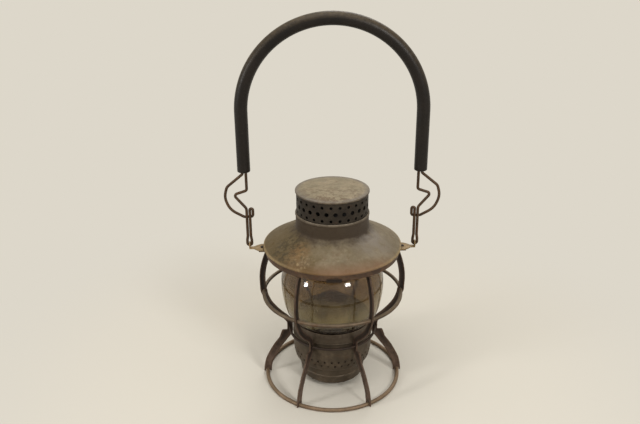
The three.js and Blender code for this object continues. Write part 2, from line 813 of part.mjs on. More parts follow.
// Burner: a brass cup that carries the wick tube and the raiser's bearings
const burnerFloor = fountNeckTop + 2 * clearance + sheet;
const bossLength = 6;

function burnerBodyGeometry() {
  const cup = revolve([
    [0, burnerFloor],
    [burnerRadius - sheet, burnerFloor],
    [burnerRadius, burnerFloor + sheet],
    [burnerRadius, burnerCupTop - sheet],
    [burnerRadius + burnerFlange, burnerCupTop - sheet],
    [burnerRadius + burnerFlange, burnerCupTop],
    [burnerRadius - sheet, burnerCupTop],
    [burnerRadius - sheet, burnerFloor + sheet],
    [0, burnerFloor + sheet],
  ], innerSteps);
  const wallPlace = Math.sqrt(burnerRadius ** 2 - shaftOffset ** 2);
  const boss = rod('y', shaftRadius + clearance + sheet, bossLength, shaftOffset, wallPlace + bossLength / 2 - sheet, shaftHeight, smallSteps / 2);
  const shaftBore = rod('y', shaftRadius + clearance, 3 * burnerRadius, shaftOffset, 0, shaftHeight, smallSteps / 2);
  const tubeX = wickThickness + 2 * (wickTubeWall + 2 * clearance);
  const tubeY = wickWidth + 2 * (wickTubeWall + 2 * clearance);
  const tubeHole = box(tubeX, tubeY, overrun, 0, 0, burnerFloor);
  return carve([cup, boss], [shaftBore, tubeHole]);
}

// Cone over the burner, with the flame slot in its dome
const coneShares = [[1, 0], [0.92, 0.5], [0.9, 0.84], [0.8, 0.95], [0.5, 0.99], [0, 1]];

function burnerConeGeometry() {
  const bottom = burnerCupTop + clearance;
  const radius = burnerRadius + burnerFlange - 2 * clearance;
  const outer = coneShares.map(([out, up]) => [out * radius, bottom + up * (coneTop - bottom)]);
  const inner = coneShares.map(([out, up]) => [
    out * (radius - sheet),
    bottom + up * (coneTop - bottom - sheet),
  ]).reverse();
  const shell = revolve([...outer, ...inner], innerSteps);
  const slot = box(coneSlotWidth, wickWidth + coneMouth, overrun, 0, 0, coneTop);
  return carve([shell], [slot]);
}

function wickTubeGeometry() {
  const gap = clearance;
  const innerX = wickThickness + 2 * gap;
  const innerY = wickWidth + 2 * gap;
  const length = wickTubeTop - wickTubeBottom;
  const middle = (wickTubeTop + wickTubeBottom) / 2;
  const tube = box(innerX + 2 * wickTubeWall, innerY + 2 * wickTubeWall, length, 0, 0, middle);
  const bore = box(innerX, innerY, length + overrun, 0, 0, middle);
  const slots = [-1, 1].map((side) => box(
    2 * wheelRadius, wheelWidth + 2 * clearance, 2 * (wheelRadius + clearance),
    wheelRadius, side * wheelOffset, shaftHeight,
  ));
  return carve([tube], [bore, ...slots]);
}

function wickGeometry() {
  return box(wickThickness, wickWidth, wickTop - wickBottom, 0, 0, (wickTop + wickBottom) / 2);
}

// Toothed or fluted disc along +Y with a bore for the shaft
function toothedDisc(outer, depth, count, pointsPerTooth, thickness) {
  const outline = [];
  for (let i = 0; i < count * pointsPerTooth; i++) {
    const angle = (i * 2 * Math.PI) / (count * pointsPerTooth);
    const wave = (1 + Math.cos(count * angle)) / 2;
    const radius = outer - depth * (1 - wave);
    outline.push(new THREE.Vector2(radius * Math.cos(angle), radius * Math.sin(angle)));
  }
  const shape = new THREE.Shape(outline);
  shape.holes.push(new THREE.Path(circlePoints(shaftRadius + clearance, smallSteps / 2)));
  return plateOnEdge(shape, thickness);
}

const knobFace = waistRingRadius + waistWire / 2 + knobReach - clearance;

function wickShaftGeometry() {
  const innerEnd = -burnerRadius;
  const outerEnd = knobFace + knobThickness + sheet;
  const length = outerEnd - innerEnd;
  return rod('y', shaftRadius, length, shaftOffset, innerEnd + length / 2, shaftHeight, smallSteps / 2);
}

// Globe: clear glass, barrel shaped, with a wide foot and a narrower top
const globeFootShare = (seatRim + 2 * clearance) / globeHeight;
const globeShares = [[globeFootShare, 0], [0.11, 0.46], [0.22, 0.72], [0.38, 0.91], [0.54, 1]];
const globeSteps = 9;
const globeTopShares = [[0.7, 0.93], [0.84, 0.64], [0.94, 0.26], [1, 0]];

function globeGeometry() {
  const lower = globeShares.map(([up, out]) => new THREE.Vector2(
    globeFootRadius + out * (globeBulge - globeFootRadius),
    globeBottom + up * globeHeight,
  ));
  const upper = globeTopShares.map(([up, out]) => new THREE.Vector2(
    globeTopRadius + out * (globeBulge - globeTopRadius),
    globeBottom + up * globeHeight,
  ));
  const line = new THREE.SplineCurve([...lower, ...upper]);
  const outer = [[globeFootRadius, globeBottom]];
  const inner = [[globeFootRadius - globeWall, globeBottom]];
  for (let i = 0; i <= globeSteps; i++) {
    const point = line.getPoint(i / globeSteps);
    outer.push([point.x, point.y]);
    inner.push([point.x - globeWall, point.y]);
  }
  return revolve([...outer, ...inner.reverse()], innerSteps);
}

// Hood: rolled edge, conical brim, fillet, collar and bead, as one spun sheet
function hoodGeometry() {
  const normal = Math.PI / 2 - brimPitch;
  const beadEnd = normal + Math.acos((brimBead - sheet) / brimBead);
  const bead = arcPoints(beadCentre, brimHeight, brimBead, beadEnd - 2 * Math.PI, normal, 5);
  const filletCentre = crownRadius + collarFillet;
  const tangentRadius = filletCentre - collarFillet * Math.cos(normal);
  const tangentHeight = brimOuterHeight(tangentRadius);
  const filletHeight = tangentHeight + collarFillet * Math.sin(normal);
  const outerFillet = arcPoints(filletCentre, filletHeight, collarFillet, Math.PI + normal, Math.PI, 3);
  const innerFillet = arcPoints(filletCentre, filletHeight, collarFillet + sheet, Math.PI, Math.PI + normal, 3);
  const beadFoot = collarTop - collarBeadHeight;
  return revolve([
    ...bead,
    ...outerFillet,
    [crownRadius, beadFoot],
    [crownRadius + collarBead, beadFoot + collarBeadHeight / 3],
    [crownRadius + collarBead, collarTop - collarBeadHeight / 3],
    [crownRadius, collarTop],
    [crownRadius - sheet, collarTop],
    [crownRadius - sheet, beadFoot],
    ...innerFillet,
  ]);
}

const drumRadius = crownRadius - sheet;
const drumBottom = collarTop + clearance;
const drumTop = crownTop - sheet - clearance - capEdge / 2;

function crownDrumGeometry() {
  const drum = revolve([
    [drumRadius - sheet, drumBottom],
    [drumRadius, drumBottom],
    [drumRadius, drumTop],
    [drumRadius - sheet, drumTop],
  ], ventCount).rotateZ(Math.PI / ventCount / 2);
  const lowRow = (drumBottom + drumTop) / 2 - ventRowPitch - ventRowDrop;
  const vents = [];
  for (let i = 0; i < ventCount; i++) {
    const pitch = (2 * Math.PI) / ventCount;
    const angle = i * pitch;
    vents.push(radialHole(smallVentRadius, drumRadius, angle, lowRow, wireSides / 2));
    vents.push(radialHole(largeVentRadius, drumRadius, angle + pitch / 2, lowRow + ventRowPitch, wireSides - 2));
    vents.push(radialHole(smallVentRadius, drumRadius, angle, lowRow + 2 * ventRowPitch, wireSides / 2));
  }
  return carve([drum], vents);
}

// Cap: a flat pressed disc, slightly domed, with its skirt over the drum
const capCrownShare = 0.8;

function crownCapGeometry() {
  const inner = drumRadius + clearance;
  const outer = inner + sheet;
  const edge = crownTop - capEdge;
  const skirtBottom = edge - capSkirt;
  const domeRadius = capCrownShare * outer;
  return revolve([
    [inner, skirtBottom],
    [outer, skirtBottom],
    [outer, edge],
    [outer - sheet / 2, edge + sheet / 2],
    [domeRadius, crownTop - capEdge / 3],
    [0, crownTop],
    [0, crownTop - sheet],
    [domeRadius, crownTop - capEdge / 3 - sheet],
    [inner, edge - sheet / 2],
  ]);
}

// Smoke bell inside the crown: a flange across the collar and a tapered flue
function smokeBellGeometry() {
  const flange = crownRadius - sheet - clearance;
  return revolve([
    [bellRadius - sheet, bellHeight - sheet],
    [flange, bellHeight - sheet],
    [flange, bellHeight],
    [bellRadius, bellHeight],
    [bellMouth, bellTop],
    [bellMouth - sheet, bellTop],
    [bellRadius - sheet, bellHeight],
  ], innerSteps);
}

// Collar under the brim that closes down on the globe's top
function globeCollarGeometry() {
  const under = sheet / Math.cos(brimPitch) + 2 * clearance;
  const topEdge = brimOuterHeight(globeCollarRadius) - under;
  const seat = globeTop + clearance;
  const rimRadius = globeTopRadius + globeWall / 2;
  return revolve([
    [globeCollarSeat, seat],
    [rimRadius, seat],
    [globeCollarRadius + sheet, topEdge - sheet],
    [globeCollarRadius, topEdge],
    [rimRadius - sheet, seat + 1.5 * sheet],
    [globeCollarSeat, seat + sheet],
  ], innerSteps);
}

// The bail's wire and grip
function bailCorners(side) {
  const innerLane = archRadius - wireGap / 2;
  const outerLane = archRadius + wireGap / 2;
  const outerStrand = pivotOffset + wireGap / 2;
  const innerStrand = pivotOffset - wireGap / 2;
  const loopOuter = pivotOffset + loopSpread / 2;
  const loopInner = pivotOffset - loopSpread / 2;
  const loopTop = pivotHeight + loopHeight;
  const strandsMeet = loopTop + loopSpread;
  const hookLane = innerStrand - wireGap;
  const span = gripEnd - linkTop;
  const passBehind = wireGap;
  const loopBend = loopSpread / 2 - clearance / 6;
  const hookBend = wireGap / 2 - clearance / 8;
  const at = (x, y, z) => new THREE.Vector3(side * x, y, z);
  return [
    { at: at(innerLane, 0, archHeight) },
    { at: at(innerLane - kinkReach * kinkShares.inset, 0, linkTop + kinkShares.high * span), radius: bailWire },
    { at: at(innerLane + kinkReach, 0, linkTop + kinkShares.low * span), radius: 0.9 * bailWire },
    { at: at(outerStrand, 0, linkTop), radius: 2 * bailWire },
    { at: at(outerStrand, 0, strandsMeet), radius: 2 * bailWire },
    { at: at(loopOuter, 0, loopTop), radius: 2 * bailWire },
    { at: at(loopOuter, 0, pivotHeight), radius: loopBend },
    { at: at(loopInner, 0, pivotHeight), radius: loopBend },
    { at: at(loopInner, 0, loopTop), radius: 2 * bailWire },
    { at: at(innerStrand, 0, strandsMeet), radius: 2 * bailWire },
    { at: at(innerStrand, 0, linkTop - clearance), radius: hookBend },
    { at: at(hookLane, 0, linkTop - clearance), radius: hookBend },
    { at: at(hookLane, 0, linkTop - hookShares.low * span), radius: bailWire / 2 },
    { at: at(hookLane + hookShares.turn * wireGap, passBehind, linkTop - hookShares.foot * span), radius: bailWire / 2 },
    ...bowShares.map(([out, back, up, bend]) => ({
      at: at(outerStrand + out * (bowReach - wireGap), back * passBehind, linkTop + up * span),
      radius: bend * bowReach,
    })),
    { at: at(outerLane, 0, gripEnd - bailWire), radius: bailWire },
    { at: at(outerLane, 0, archHeight) },
  ];
}

// Places of the kink, the hook and the bow, as shares of their reach and of the rise
// from the top of the link to the grip
const kinkShares = { inset: 0.02, high: 0.49, low: 0.375 };
const hookShares = { low: 0.18, foot: 0.255, turn: 0.4 };
const bowShares = [
  [0.14, 0.95, -0.262, 0.15], [0.78, 0.05, -0.035, 0.42], [1.02, 0, 0.31, 0.36], [0.88, 0, 0.585, 0.2],
];

function bailWireGeometry() {
  const innerLane = archRadius - wireGap / 2;
  const outerLane = archRadius + wireGap / 2;
  const endAngle = wireEndGap / 2 / innerLane;
  const stretches = [
    archArc(innerLane, Math.PI / 2 + endAngle, Math.PI, archSteps / 2),
    ...bentWire(bailCorners(-1)),
    archArc(outerLane, Math.PI, 0, archSteps),
    ...bentWire(bailCorners(1).reverse()),
    archArc(innerLane, 0, Math.PI / 2 - endAngle, archSteps / 2),
  ];
  return tubeAlong(stretches, circlePoints(bailWire / 2, wireSides - 2));
}

function bailGripGeometry() {
  const leg = (side, from, to) => ({
    curve: new THREE.LineCurve3(
      new THREE.Vector3(side * archRadius, 0, from),
      new THREE.Vector3(side * archRadius, 0, to),
    ),
    steps: 1,
  });
  const boreRadius = wireGap / 2 + bailWire / 2 + 2.4 * clearance;
  return tubeAlong(
    [leg(-1, gripEnd, archHeight), archArc(archRadius, Math.PI, 0, archSteps), leg(1, archHeight, gripEnd)],
    circlePoints(gripRadius, 1.5 * wireSides),
    circlePoints(boreRadius, wireSides),
  );
}

// Finishes: colour, roughness and metalness
const finishes = {
  weatheredSteel: [0x4a3a31, 0.75, 0.5],
  baseSteel: [0x7d6558, 0.75, 0.5],
  tinnedSheet: [0x8f856d, 0.6, 0.6],
  darkCrown: [0x3f3934, 0.75, 0.5],
  housingSheet: [0x4b4138, 0.65, 0.5],
  brass: [0x8f7a45, 0.45, 0.9],
  glass: [0xb9b39a, 0.15, 0],
  rubber: [0x262624, 0.6, 0],
  cotton: [0xcfc5a8, 0.95, 0],
  bailSteel: [0x4b3422, 0.7, 0.6],
};

function piece(name, geometry, finish) {
  const [color, roughness, metalness] = finishes[finish];
  const material = new THREE.MeshStandardMaterial({ color, roughness, metalness });
  const mesh = new THREE.Mesh(geometry, material);
  mesh.name = name;
  return mesh;
}

function frameGroup() {
  const group = new THREE.Group();
  group.add(piece('base_ring', wireRing(baseRingRadius, baseRingCentre, baseWire, wireSides), 'baseSteel'));
  group.add(piece('guard_ring', wireRing(guardRingRadius, guardRingHeight, guardWire, wireSides - 2), 'weatheredSteel'));
  group.add(piece('waist_ring', wireRing(waistRingRadius, waistRingHeight, waistWire, wireSides - 2), 'weatheredSteel'));
  const rib = ribGeometry();
  for (let i = 0; i < ribCount; i++) {
    const mesh = piece(`rib_${i + 1}`, rib.clone(), 'weatheredSteel');
    mesh.rotation.z = (i * 2 * Math.PI) / ribCount;
    group.add(mesh);
  }
  group.add(piece('top_ring', topRingGeometry(), 'weatheredSteel'));
  for (const [name, turn] of [['right', 0], ['left', Math.PI]]) {
    const side = new THREE.Group();
    side.rotation.z = turn;
    side.add(piece(`bail_ear_${name}`, earGeometry(), 'tinnedSheet'));
    const rivet = piece(`ear_rivet_${name}`, rivetGeometry(2 * earThickness + clearance), 'weatheredSteel');
    rivet.position.set(earRivetOffset, 0, earHeight + earThickness);
    side.add(rivet);
    group.add(side);
  }
  const hoodCatch = piece('hood_catch', catchGeometry(), 'weatheredSteel');
  hoodCatch.rotation.z = -Math.PI / 2;
  group.add(hoodCatch);
  group.add(piece('hinge_lug', hingeLugGeometry(), 'weatheredSteel'));
  group.add(piece('hinge_pin', hingePinGeometry(), 'bailSteel'));
  group.add(piece('globe_plate', globePlateGeometry(), 'housingSheet'));
  group.add(piece('draft_shell', draftShellGeometry(), 'housingSheet'));
  group.add(piece('globe', globeGeometry(), 'glass'));
  return group;
}

function hoodGroup() {
  const group = new THREE.Group();
  group.add(piece('hood', hoodGeometry(), 'tinnedSheet'));
  group.add(piece('crown_drum', crownDrumGeometry(), 'darkCrown'));
  group.add(piece('crown_cap', crownCapGeometry(), 'tinnedSheet'));
  group.add(piece('smoke_bell', smokeBellGeometry(), 'darkCrown'));
  group.add(piece('globe_collar', globeCollarGeometry(), 'darkCrown'));
  group.add(piece('hinge_leaf', hingeLeafGeometry(), 'tinnedSheet'));
  return group;
}

function bailGroup() {
  const group = new THREE.Group();
  group.add(piece('bail_wire', bailWireGeometry(), 'bailSteel'));
  group.add(piece('bail_grip', bailGripGeometry(), 'rubber'));
  return group;
}

function fountGroup() {
  const group = new THREE.Group();
  group.add(piece('fount', fountGeometry(), 'housingSheet'));
  group.add(piece('burner_collar', burnerCollarGeometry(), 'brass'));
  group.add(piece('burner_body', burnerBodyGeometry(), 'brass'));
  group.add(piece('burner_cone', burnerConeGeometry(), 'brass'));
  group.add(piece('wick_tube', wickTubeGeometry(), 'brass'));
  group.add(piece('wick', wickGeometry(), 'cotton'));
  group.add(piece('wick_shaft', wickShaftGeometry(), 'brass'));
  for (const [number, side] of [[1, -1], [2, 1]]) {
    const wheel = toothedDisc(wheelRadius, wheelToothDepth, wheelTeeth, 2, wheelWidth);
    const mesh = piece(`wick_wheel_${number}`, wheel, 'brass');
    mesh.position.set(shaftOffset, side * wheelOffset, shaftHeight);
    group.add(mesh);
  }
  const knob = piece('wick_knob', toothedDisc(knobRadius, knobFluteDepth, knobFlutes, 2, knobThickness), 'brass');
  knob.position.set(shaftOffset, knobFace + knobThickness / 2, shaftHeight);
  group.add(knob);
  return group;
}

const lantern = new THREE.Group();
lantern.add(frameGroup(), hoodGroup(), bailGroup(), fountGroup());

export default lantern;
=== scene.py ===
"""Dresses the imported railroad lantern: spun and drawn sheet, pressed strip, bent wire, blown glass and hose.

Lengths are in millimetres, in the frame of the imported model: +Z up, -Y towards the front and +X towards
the right ear of the bail. They turn to metres only where a mesh or a pattern is made.
"""
import math

import bpy
import numpy as np
from mathutils import Matrix


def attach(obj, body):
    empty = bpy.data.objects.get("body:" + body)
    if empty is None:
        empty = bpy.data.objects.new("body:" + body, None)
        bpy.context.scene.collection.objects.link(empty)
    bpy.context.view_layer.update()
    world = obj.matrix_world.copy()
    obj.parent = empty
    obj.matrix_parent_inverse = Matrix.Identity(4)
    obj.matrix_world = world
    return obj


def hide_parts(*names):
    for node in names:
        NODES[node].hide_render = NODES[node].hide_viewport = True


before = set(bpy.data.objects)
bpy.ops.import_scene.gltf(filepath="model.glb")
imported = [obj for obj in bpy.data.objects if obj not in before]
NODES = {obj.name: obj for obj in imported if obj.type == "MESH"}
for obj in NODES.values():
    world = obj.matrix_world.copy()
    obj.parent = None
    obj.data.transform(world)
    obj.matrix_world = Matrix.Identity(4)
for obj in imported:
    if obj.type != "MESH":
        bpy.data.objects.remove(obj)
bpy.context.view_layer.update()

MM = 0.001
TAU = 2 * math.pi
SMOOTH_ANGLE = 35

# The sizes that follow are those of the solids, which the dressing keeps to
CLEARANCE = 0.3
SHEET = 0.9

# How far a cutter stands past what it cuts, in the open and near another wall
OVERRUN = 3.0
SHORT_OVERRUN = 1.0

# Base wire. Its solid is eight-sided and stands on a flat, which gives the height of its centre.
BASE_RADIUS = 78.0
BASE_WIRE = 4.8
BASE_CENTRE = BASE_WIRE / 2 * math.cos(math.pi / 8)

# Strips, guard wire and waist wire
CAGE_DEPTH = 6.8
LEG_DEPTH = 9.0
LEG_INSET = 1.6
BULGE_CENTRE = 79.8
SHOULDER_HEIGHT = 58.6
SHOULDER_REACH = 9.6
KNEE_REACH = 12.2
KNEE_DROP = 8.0
RIB_TOP = 168.5
RIB_FOOT = 1.2
RIB_COUNT = 6
GUARD_HEIGHT = 111.6
GUARD_RADIUS = 78.6
GUARD_WIRE = 4.2
WAIST_BOTTOM = 61.0
WAIST_HEIGHT = 63.0
WAIST_RADIUS = 49.8
WAIST_WIRE = 3.0

# Hoop under the brim, with its two tabs for the ears
HOOP_INNER = 73.4
HOOP_OUTER = 74.6
HOOP_BOTTOM = 162.95
HOOP_TOP = 169.55
HOOP_BEND = 0.4
TAB_REACH = 82.3
TAB_HALF = 7.1
TAB_TOP = 165.6
TAB_THICKNESS = 1.2

# Globe plate with its band, and draft shell
HOUSING_WALL = 45.8
HOUSING_BEAD = 0.5
SEAT_HEIGHT = 76.2
SEAT_RIM = 3.2
BAND_BOTTOM = 62.0
BAND_BEAD = 0.4
BAND_BEAD_RISE = 4.0
BAND_BEAD_HEIGHT = 1.2
PLATE_HOLE = 20.4
PLATE_LIP = 2.2
PLATE_HOLES = 15
PLATE_HOLE_RADIUS = 2.0
PLATE_BEND = 0.35
SHELL_MOUTH = 30.0
SHELL_TAPER = 2.4
SHELL_CURVE = 47.0
SHELL_LEDGE = 2.2
AIR_HOLES = 36
AIR_RADIUS = 1.25
AIR_ROW = 42.0
AIR_ROW_DROP = 5.7

# Fount with its lugs, burner and raiser
FOUNT_BOTTOM = 5.6
FOUNT_RADIUS = 38.0
FOUNT_CORNER = 5.0
FOUNT_DISH = 1.0
FOUNT_SHOULDER = 40.0
FOUNT_BEND = 0.4
SEAM_HEIGHT = 17.2
SEAM_HALF = 0.6
SEAM_GROOVE = 0.75
SEAM_STEP = 0.25
NECK_RADIUS = 13.0
NECK_TOP = 48.0
LUGS = 3
LUG_HALF = math.radians(5)
LUG_ROOM = math.radians(1.5)
LUG_RISE = 1.2
LUG_THICKNESS = 1.5
TWIST = math.radians(15)
CONE_FOOT = 63.3
CONE_RADIUS = 19.2
CONE_TOP = 103.0
FLAME_SLOT = (5.0, 15.7)
SHAFT_HEIGHT = 56.5
SHAFT_OFFSET = 5.6
SHAFT_SLOT = 2.1

# Globe and the cone that holds its top
GLOBE_BOTTOM = 76.5
GLOBE_HEIGHT = 84.0
GLOBE_WALL = 2.4
GLOBE_BULGE = 58.5
GLOBE_TOP_RADIUS = 40.0
GLOBE_LIP = 0.7
GLOBE_COLLAR_SEAT = 37.0
GLOBE_COLLAR_RADIUS = 53.0
GLOBE_COLLAR_BEND = 0.6

# Brim with its collar, and crown
BRIM_RADIUS = 77.1
BRIM_HEIGHT = 171.35
BEAD = 1.5
PITCH = math.radians(29)
FILLET = 4.0
COLLAR_TOP = 211.2
COLLAR_BEAD = 0.6
COLLAR_BEAD_HEIGHT = 3.6
COLLAR_BEND = 0.7
CROWN_RADIUS = 40.4
CROWN_TOP = 237.4
CAP_EDGE = 1.4
CAP_SKIRT = 1.4
CAP_BEND = 0.5
VENTS = 26
SMALL_VENT = 1.7
LARGE_VENT = 2.4
VENT_PITCH = 7.5
VENT_DROP = 1.6
BELL_HEIGHT = 206.0
BELL_RADIUS = 30.0
BELL_MOUTH = 24.0
BELL_TOP = 227.0
BELL_BEND = 0.3

# Bail wire and the hose on it
WIRE = 3.1
WIRE_GAP = WIRE + 1.1 * CLEARANCE
WIRE_END_GAP = 4.0
PIVOT_OFFSET = 92.5
PIVOT_HEIGHT = 170.2
LOOP_HEIGHT = 6.2
LOOP_SPREAD = 5.0
LINK_TOP = 214.4
KINK_REACH = 14.4
BOW_REACH = 26.4
ARCH_RADIUS = 95.0
ARCH_HEIGHT = 322.0
GRIP_END = 257.5
GRIP_RADIUS = 7.0
GRIP_BORE = 4.0
GRIP_RIM = 1.0

# The photograph's frame and the camera that it was taken from
PHOTO_WIDTH = 640
FOCAL_PIXELS = 700
SENSOR = 36
CAMERA_PLACE = (-18.9, -710.2, 510.0)
CAMERA_PITCH = 22.95
CAMERA_YAW = -0.4
CAMERA_ROLL = -0.6


def make_camera():
    """Look towards +Y, pitched down, with the lens worked out from the photograph's perspective."""
    data = bpy.data.cameras.new("camera")
    data.sensor_width = SENSOR
    data.lens = FOCAL_PIXELS / PHOTO_WIDTH * SENSOR
    data.clip_start = 10 * MM
    camera = bpy.data.objects.new("camera", data)
    camera.location = [v * MM for v in CAMERA_PLACE]
    camera.rotation_mode = "ZYX"
    camera.rotation_euler = [math.radians(v) for v in (90 - CAMERA_PITCH, CAMERA_YAW, CAMERA_ROLL)]
    bpy.context.scene.collection.objects.link(camera)
    bpy.context.scene.camera = camera


# Meshes
def new_mesh(name, points, faces):
    """Mesh in metres from points in mm and index faces."""
    mesh = bpy.data.meshes.new(name)
    mesh.from_pydata((np.asarray(points, float) * MM).tolist(), [], faces)
    return mesh


def add_piece(name, points, faces, material, body, slot, replaced, wear=None, smooth_angle=SMOOTH_ANGLE):
    """Object at the origin, shaded smooth but for sharp edges. wear is how far each point is rubbed bare."""
    mesh = new_mesh(name, points, faces)
    mesh.validate()
    if wear is not None:
        layer = mesh.attributes.new("wear", "FLOAT", "POINT")
        layer.data.foreach_set("value", np.asarray(wear, np.float32))
    return dressed(bpy.data.objects.new(name, mesh), material, body, replaced, smooth_angle)


def dressed(obj, material, body, replaced, smooth_angle=SMOOTH_ANGLE):
    """Gives a new object its material, shading, body and the nodes that it stands for."""
    bpy.context.scene.collection.objects.link(obj)
    obj.data.materials.clear()
    obj.data.materials.append(material)
    obj.data.shade_smooth()
    obj.data.set_sharp_from_angle(angle=math.radians(smooth_angle))
    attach(obj, body)
    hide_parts(*replaced)
    return obj


def grid_faces(rows, columns, closed_rows, closed_columns):
    """Quads over a rows x columns grid of points, wrapping round where it is closed."""
    i = np.arange(rows if closed_rows else rows - 1)[:, None]
    j = np.arange(columns if closed_columns else columns - 1)[None, :]
    below = (i + 1) % rows
    right = (j + 1) % columns
    corners = (i * columns + j, i * columns + right, below * columns + right, below * columns + j)
    return np.stack(corners, -1).reshape(-1, 4).tolist()


def outward(points, faces):
    """The faces, turned over if the closed surface that they make has a negative volume."""
    fans = np.array([(face[0], face[k], face[k + 1]) for face in faces for k in range(1, len(face) - 1)])
    a, b, c = (np.asarray(points, float)[fans[:, k]] for k in range(3))
    volume = np.einsum("ij,ij->", a, np.cross(b, c))
    return faces if volume > 0 else [list(reversed(face)) for face in faces]


def joined(*parts):
    """Several (points, faces) as one."""
    starts = np.cumsum([0] + [len(points) for points, _ in parts])
    points = np.concatenate([np.asarray(points, float) for points, _ in parts])
    return points, [[start + i for i in face] for start, (_, faces) in zip(starts, parts) for face in faces]


def rounded(points, radii, steps=5, closed=True):
    """Outline with each corner turned into an arc of its own radius, limited to half its shorter side."""
    p = [np.asarray(q, float) for q in points]
    count = len(p)
    if np.isscalar(radii):
        radii = [radii] * count
    out = []
    for i in range(count):
        before = p[i - 1] - p[i]
        after = p[(i + 1) % count] - p[i]
        u = before / (np.linalg.norm(before) + 1e-12)
        v = after / (np.linalg.norm(after) + 1e-12)
        half = math.acos(max(-1.0, min(1.0, float(np.dot(u, v))))) / 2
        at_end = not closed and i in (0, count - 1)
        if radii[i] <= 0 or at_end or half < 1e-3 or half > math.pi / 2 - 1e-3:
            out.append(p[i])
            continue
        near = min(np.linalg.norm(before), np.linalg.norm(after)) * 0.48
        trim = min(radii[i] / math.tan(half), near)
        centre = p[i] + (u + v) / np.linalg.norm(u + v) * (trim / math.cos(half))
        sweep = math.pi - 2 * half
        t = np.linspace(0, 1, steps + 1)[:, None]
        start, end = p[i] + u * trim - centre, p[i] + v * trim - centre
        out.extend(centre + (np.sin((1 - t) * sweep) * start + np.sin(t * sweep) * end) / math.sin(sweep))
    return np.array(out)


def spline(points, count):
    """Even-weight Catmull-Rom curve through the points, the same rule as the solid's own outlines."""
    p = np.asarray(points, float)
    place = np.linspace(0, len(p) - 1, count)
    i = np.minimum(place.astype(int), len(p) - 2)
    t = (place - i)[:, None]
    p0, p1, p2, p3 = (p[np.clip(i + k, 0, len(p) - 1)] for k in (-1, 0, 1, 2))
    v0, v1 = (p2 - p0) / 2, (p3 - p1) / 2
    return (2 * p1 - 2 * p2 + v0 + v1) * t ** 3 + (-3 * p1 + 3 * p2 - 2 * v0 - v1) * t ** 2 + v0 * t + p1


def resampled(line, count):
    """The line at even steps of its length."""
    line = np.asarray(line, float)
    length = np.concatenate([[0], np.cumsum(np.linalg.norm(np.diff(line, axis=0), axis=1))])
    at = np.linspace(0, length[-1], count)
    return np.stack([np.interp(at, length, line[:, k]) for k in range(line.shape[1])], -1)


def tangents(line):
    """Unit directions along a line of points."""
    steps = np.gradient(line, axis=0)
    return steps / np.linalg.norm(steps, axis=1)[:, None]


def sideways(line):
    """Unit directions to the left of a flat line."""
    along = tangents(line)
    return np.stack([-along[:, 1], along[:, 0]], 1)


def arc(centre, radius, start, end, steps):
    """Points on an arc in the plane of radius and height, angles in radians."""
    angle = np.linspace(start, end, steps + 1)
    return np.stack([centre[0] + radius * np.cos(angle), centre[1] + radius * np.sin(angle)], -1)


def lathe(profile, steps=160, warp=None):
    """Surface of revolution f(u, v): the profile's point v at turn u, at radius r(v) and height z(v).

    A profile that starts and ends on the axis is closed there by two fans, and any other on itself.
    warp(r, z, u) gives a new radius and height, for dents and waves."""
    profile = np.asarray(profile, float)
    on_axis = abs(profile[0, 0]) < 1e-9 and abs(profile[-1, 0]) < 1e-9
    body = profile[1:-1] if on_axis else profile
    turn = np.repeat((np.arange(steps) * TAU / steps)[:, None], len(body), 1)
    radius = np.repeat(body[None, :, 0], steps, 0)
    height = np.repeat(body[None, :, 1], steps, 0)
    if warp:
        radius, height = warp(radius, height, turn)
    points = np.stack([radius * np.cos(turn), radius * np.sin(turn), height], -1).reshape(-1, 3)
    faces = grid_faces(steps, len(body), True, not on_axis)
    if on_axis:
        first = len(points)
        poles = np.array([[0, 0, profile[0, 1]], [0, 0, profile[-1, 1]]])
        if warp:
            poles[:, 2] = warp(poles[:, 0], poles[:, 2], poles[:, 0])[1]
        points = np.vstack([points, poles])
        here = np.arange(steps) * len(body)
        ahead = np.roll(here, -1)
        last = len(body) - 1
        faces += np.stack([here, ahead, np.full(steps, first)], -1).tolist()
        faces += np.stack([ahead + last, here + last, np.full(steps, first + 1)], -1).tolist()
    return points, outward(points, faces)


def wire_ring(radius, height, wire, wobble, seed):
    """Ring of round wire f(u, v) = ((R(u) + w cos v) cos u, (R(u) + w cos v) sin u, h + w sin v), where
    R(u) strays from round by the slight unevenness of a ring bent by hand."""
    rows, columns = 180, 18
    u = (np.arange(rows) * TAU / rows)[:, None]
    v = (np.arange(columns) * TAU / columns)[None, :]
    reach = radius + wobble * (np.sin(3 * u + seed) + 0.6 * np.sin(7 * u + 2 * seed)) + wire * np.cos(v)
    up = height + wire * np.sin(v) + 0 * u
    points = np.stack([reach * np.cos(u), reach * np.sin(u), up], -1).reshape(-1, 3)
    return points, outward(points, grid_faces(rows, columns, True, True))


def bail_tube(path, radius, sides=16):
    """Round wire f(u, v) = path(u) + r (s(u) cos v + b(u) sin v), where s lies across the path in the plane
    of the bail, and b completes the frame."""
    along = tangents(path)
    side = np.cross(along, [0.0, 1.0, 0.0])
    side /= np.linalg.norm(side, axis=1)[:, None]
    over = np.cross(side, along)
    v = (np.arange(sides) * TAU / sides)[None, :, None]
    points = path[:, None] + radius * (side[:, None] * np.cos(v) + over[:, None] * np.sin(v))
    points = points.reshape(-1, 3)
    faces = grid_faces(len(path), sides, False, True)
    faces.append(list(range(sides))[::-1])
    faces.append(list(range(len(points) - sides, len(points))))
    return points, outward(points, faces)


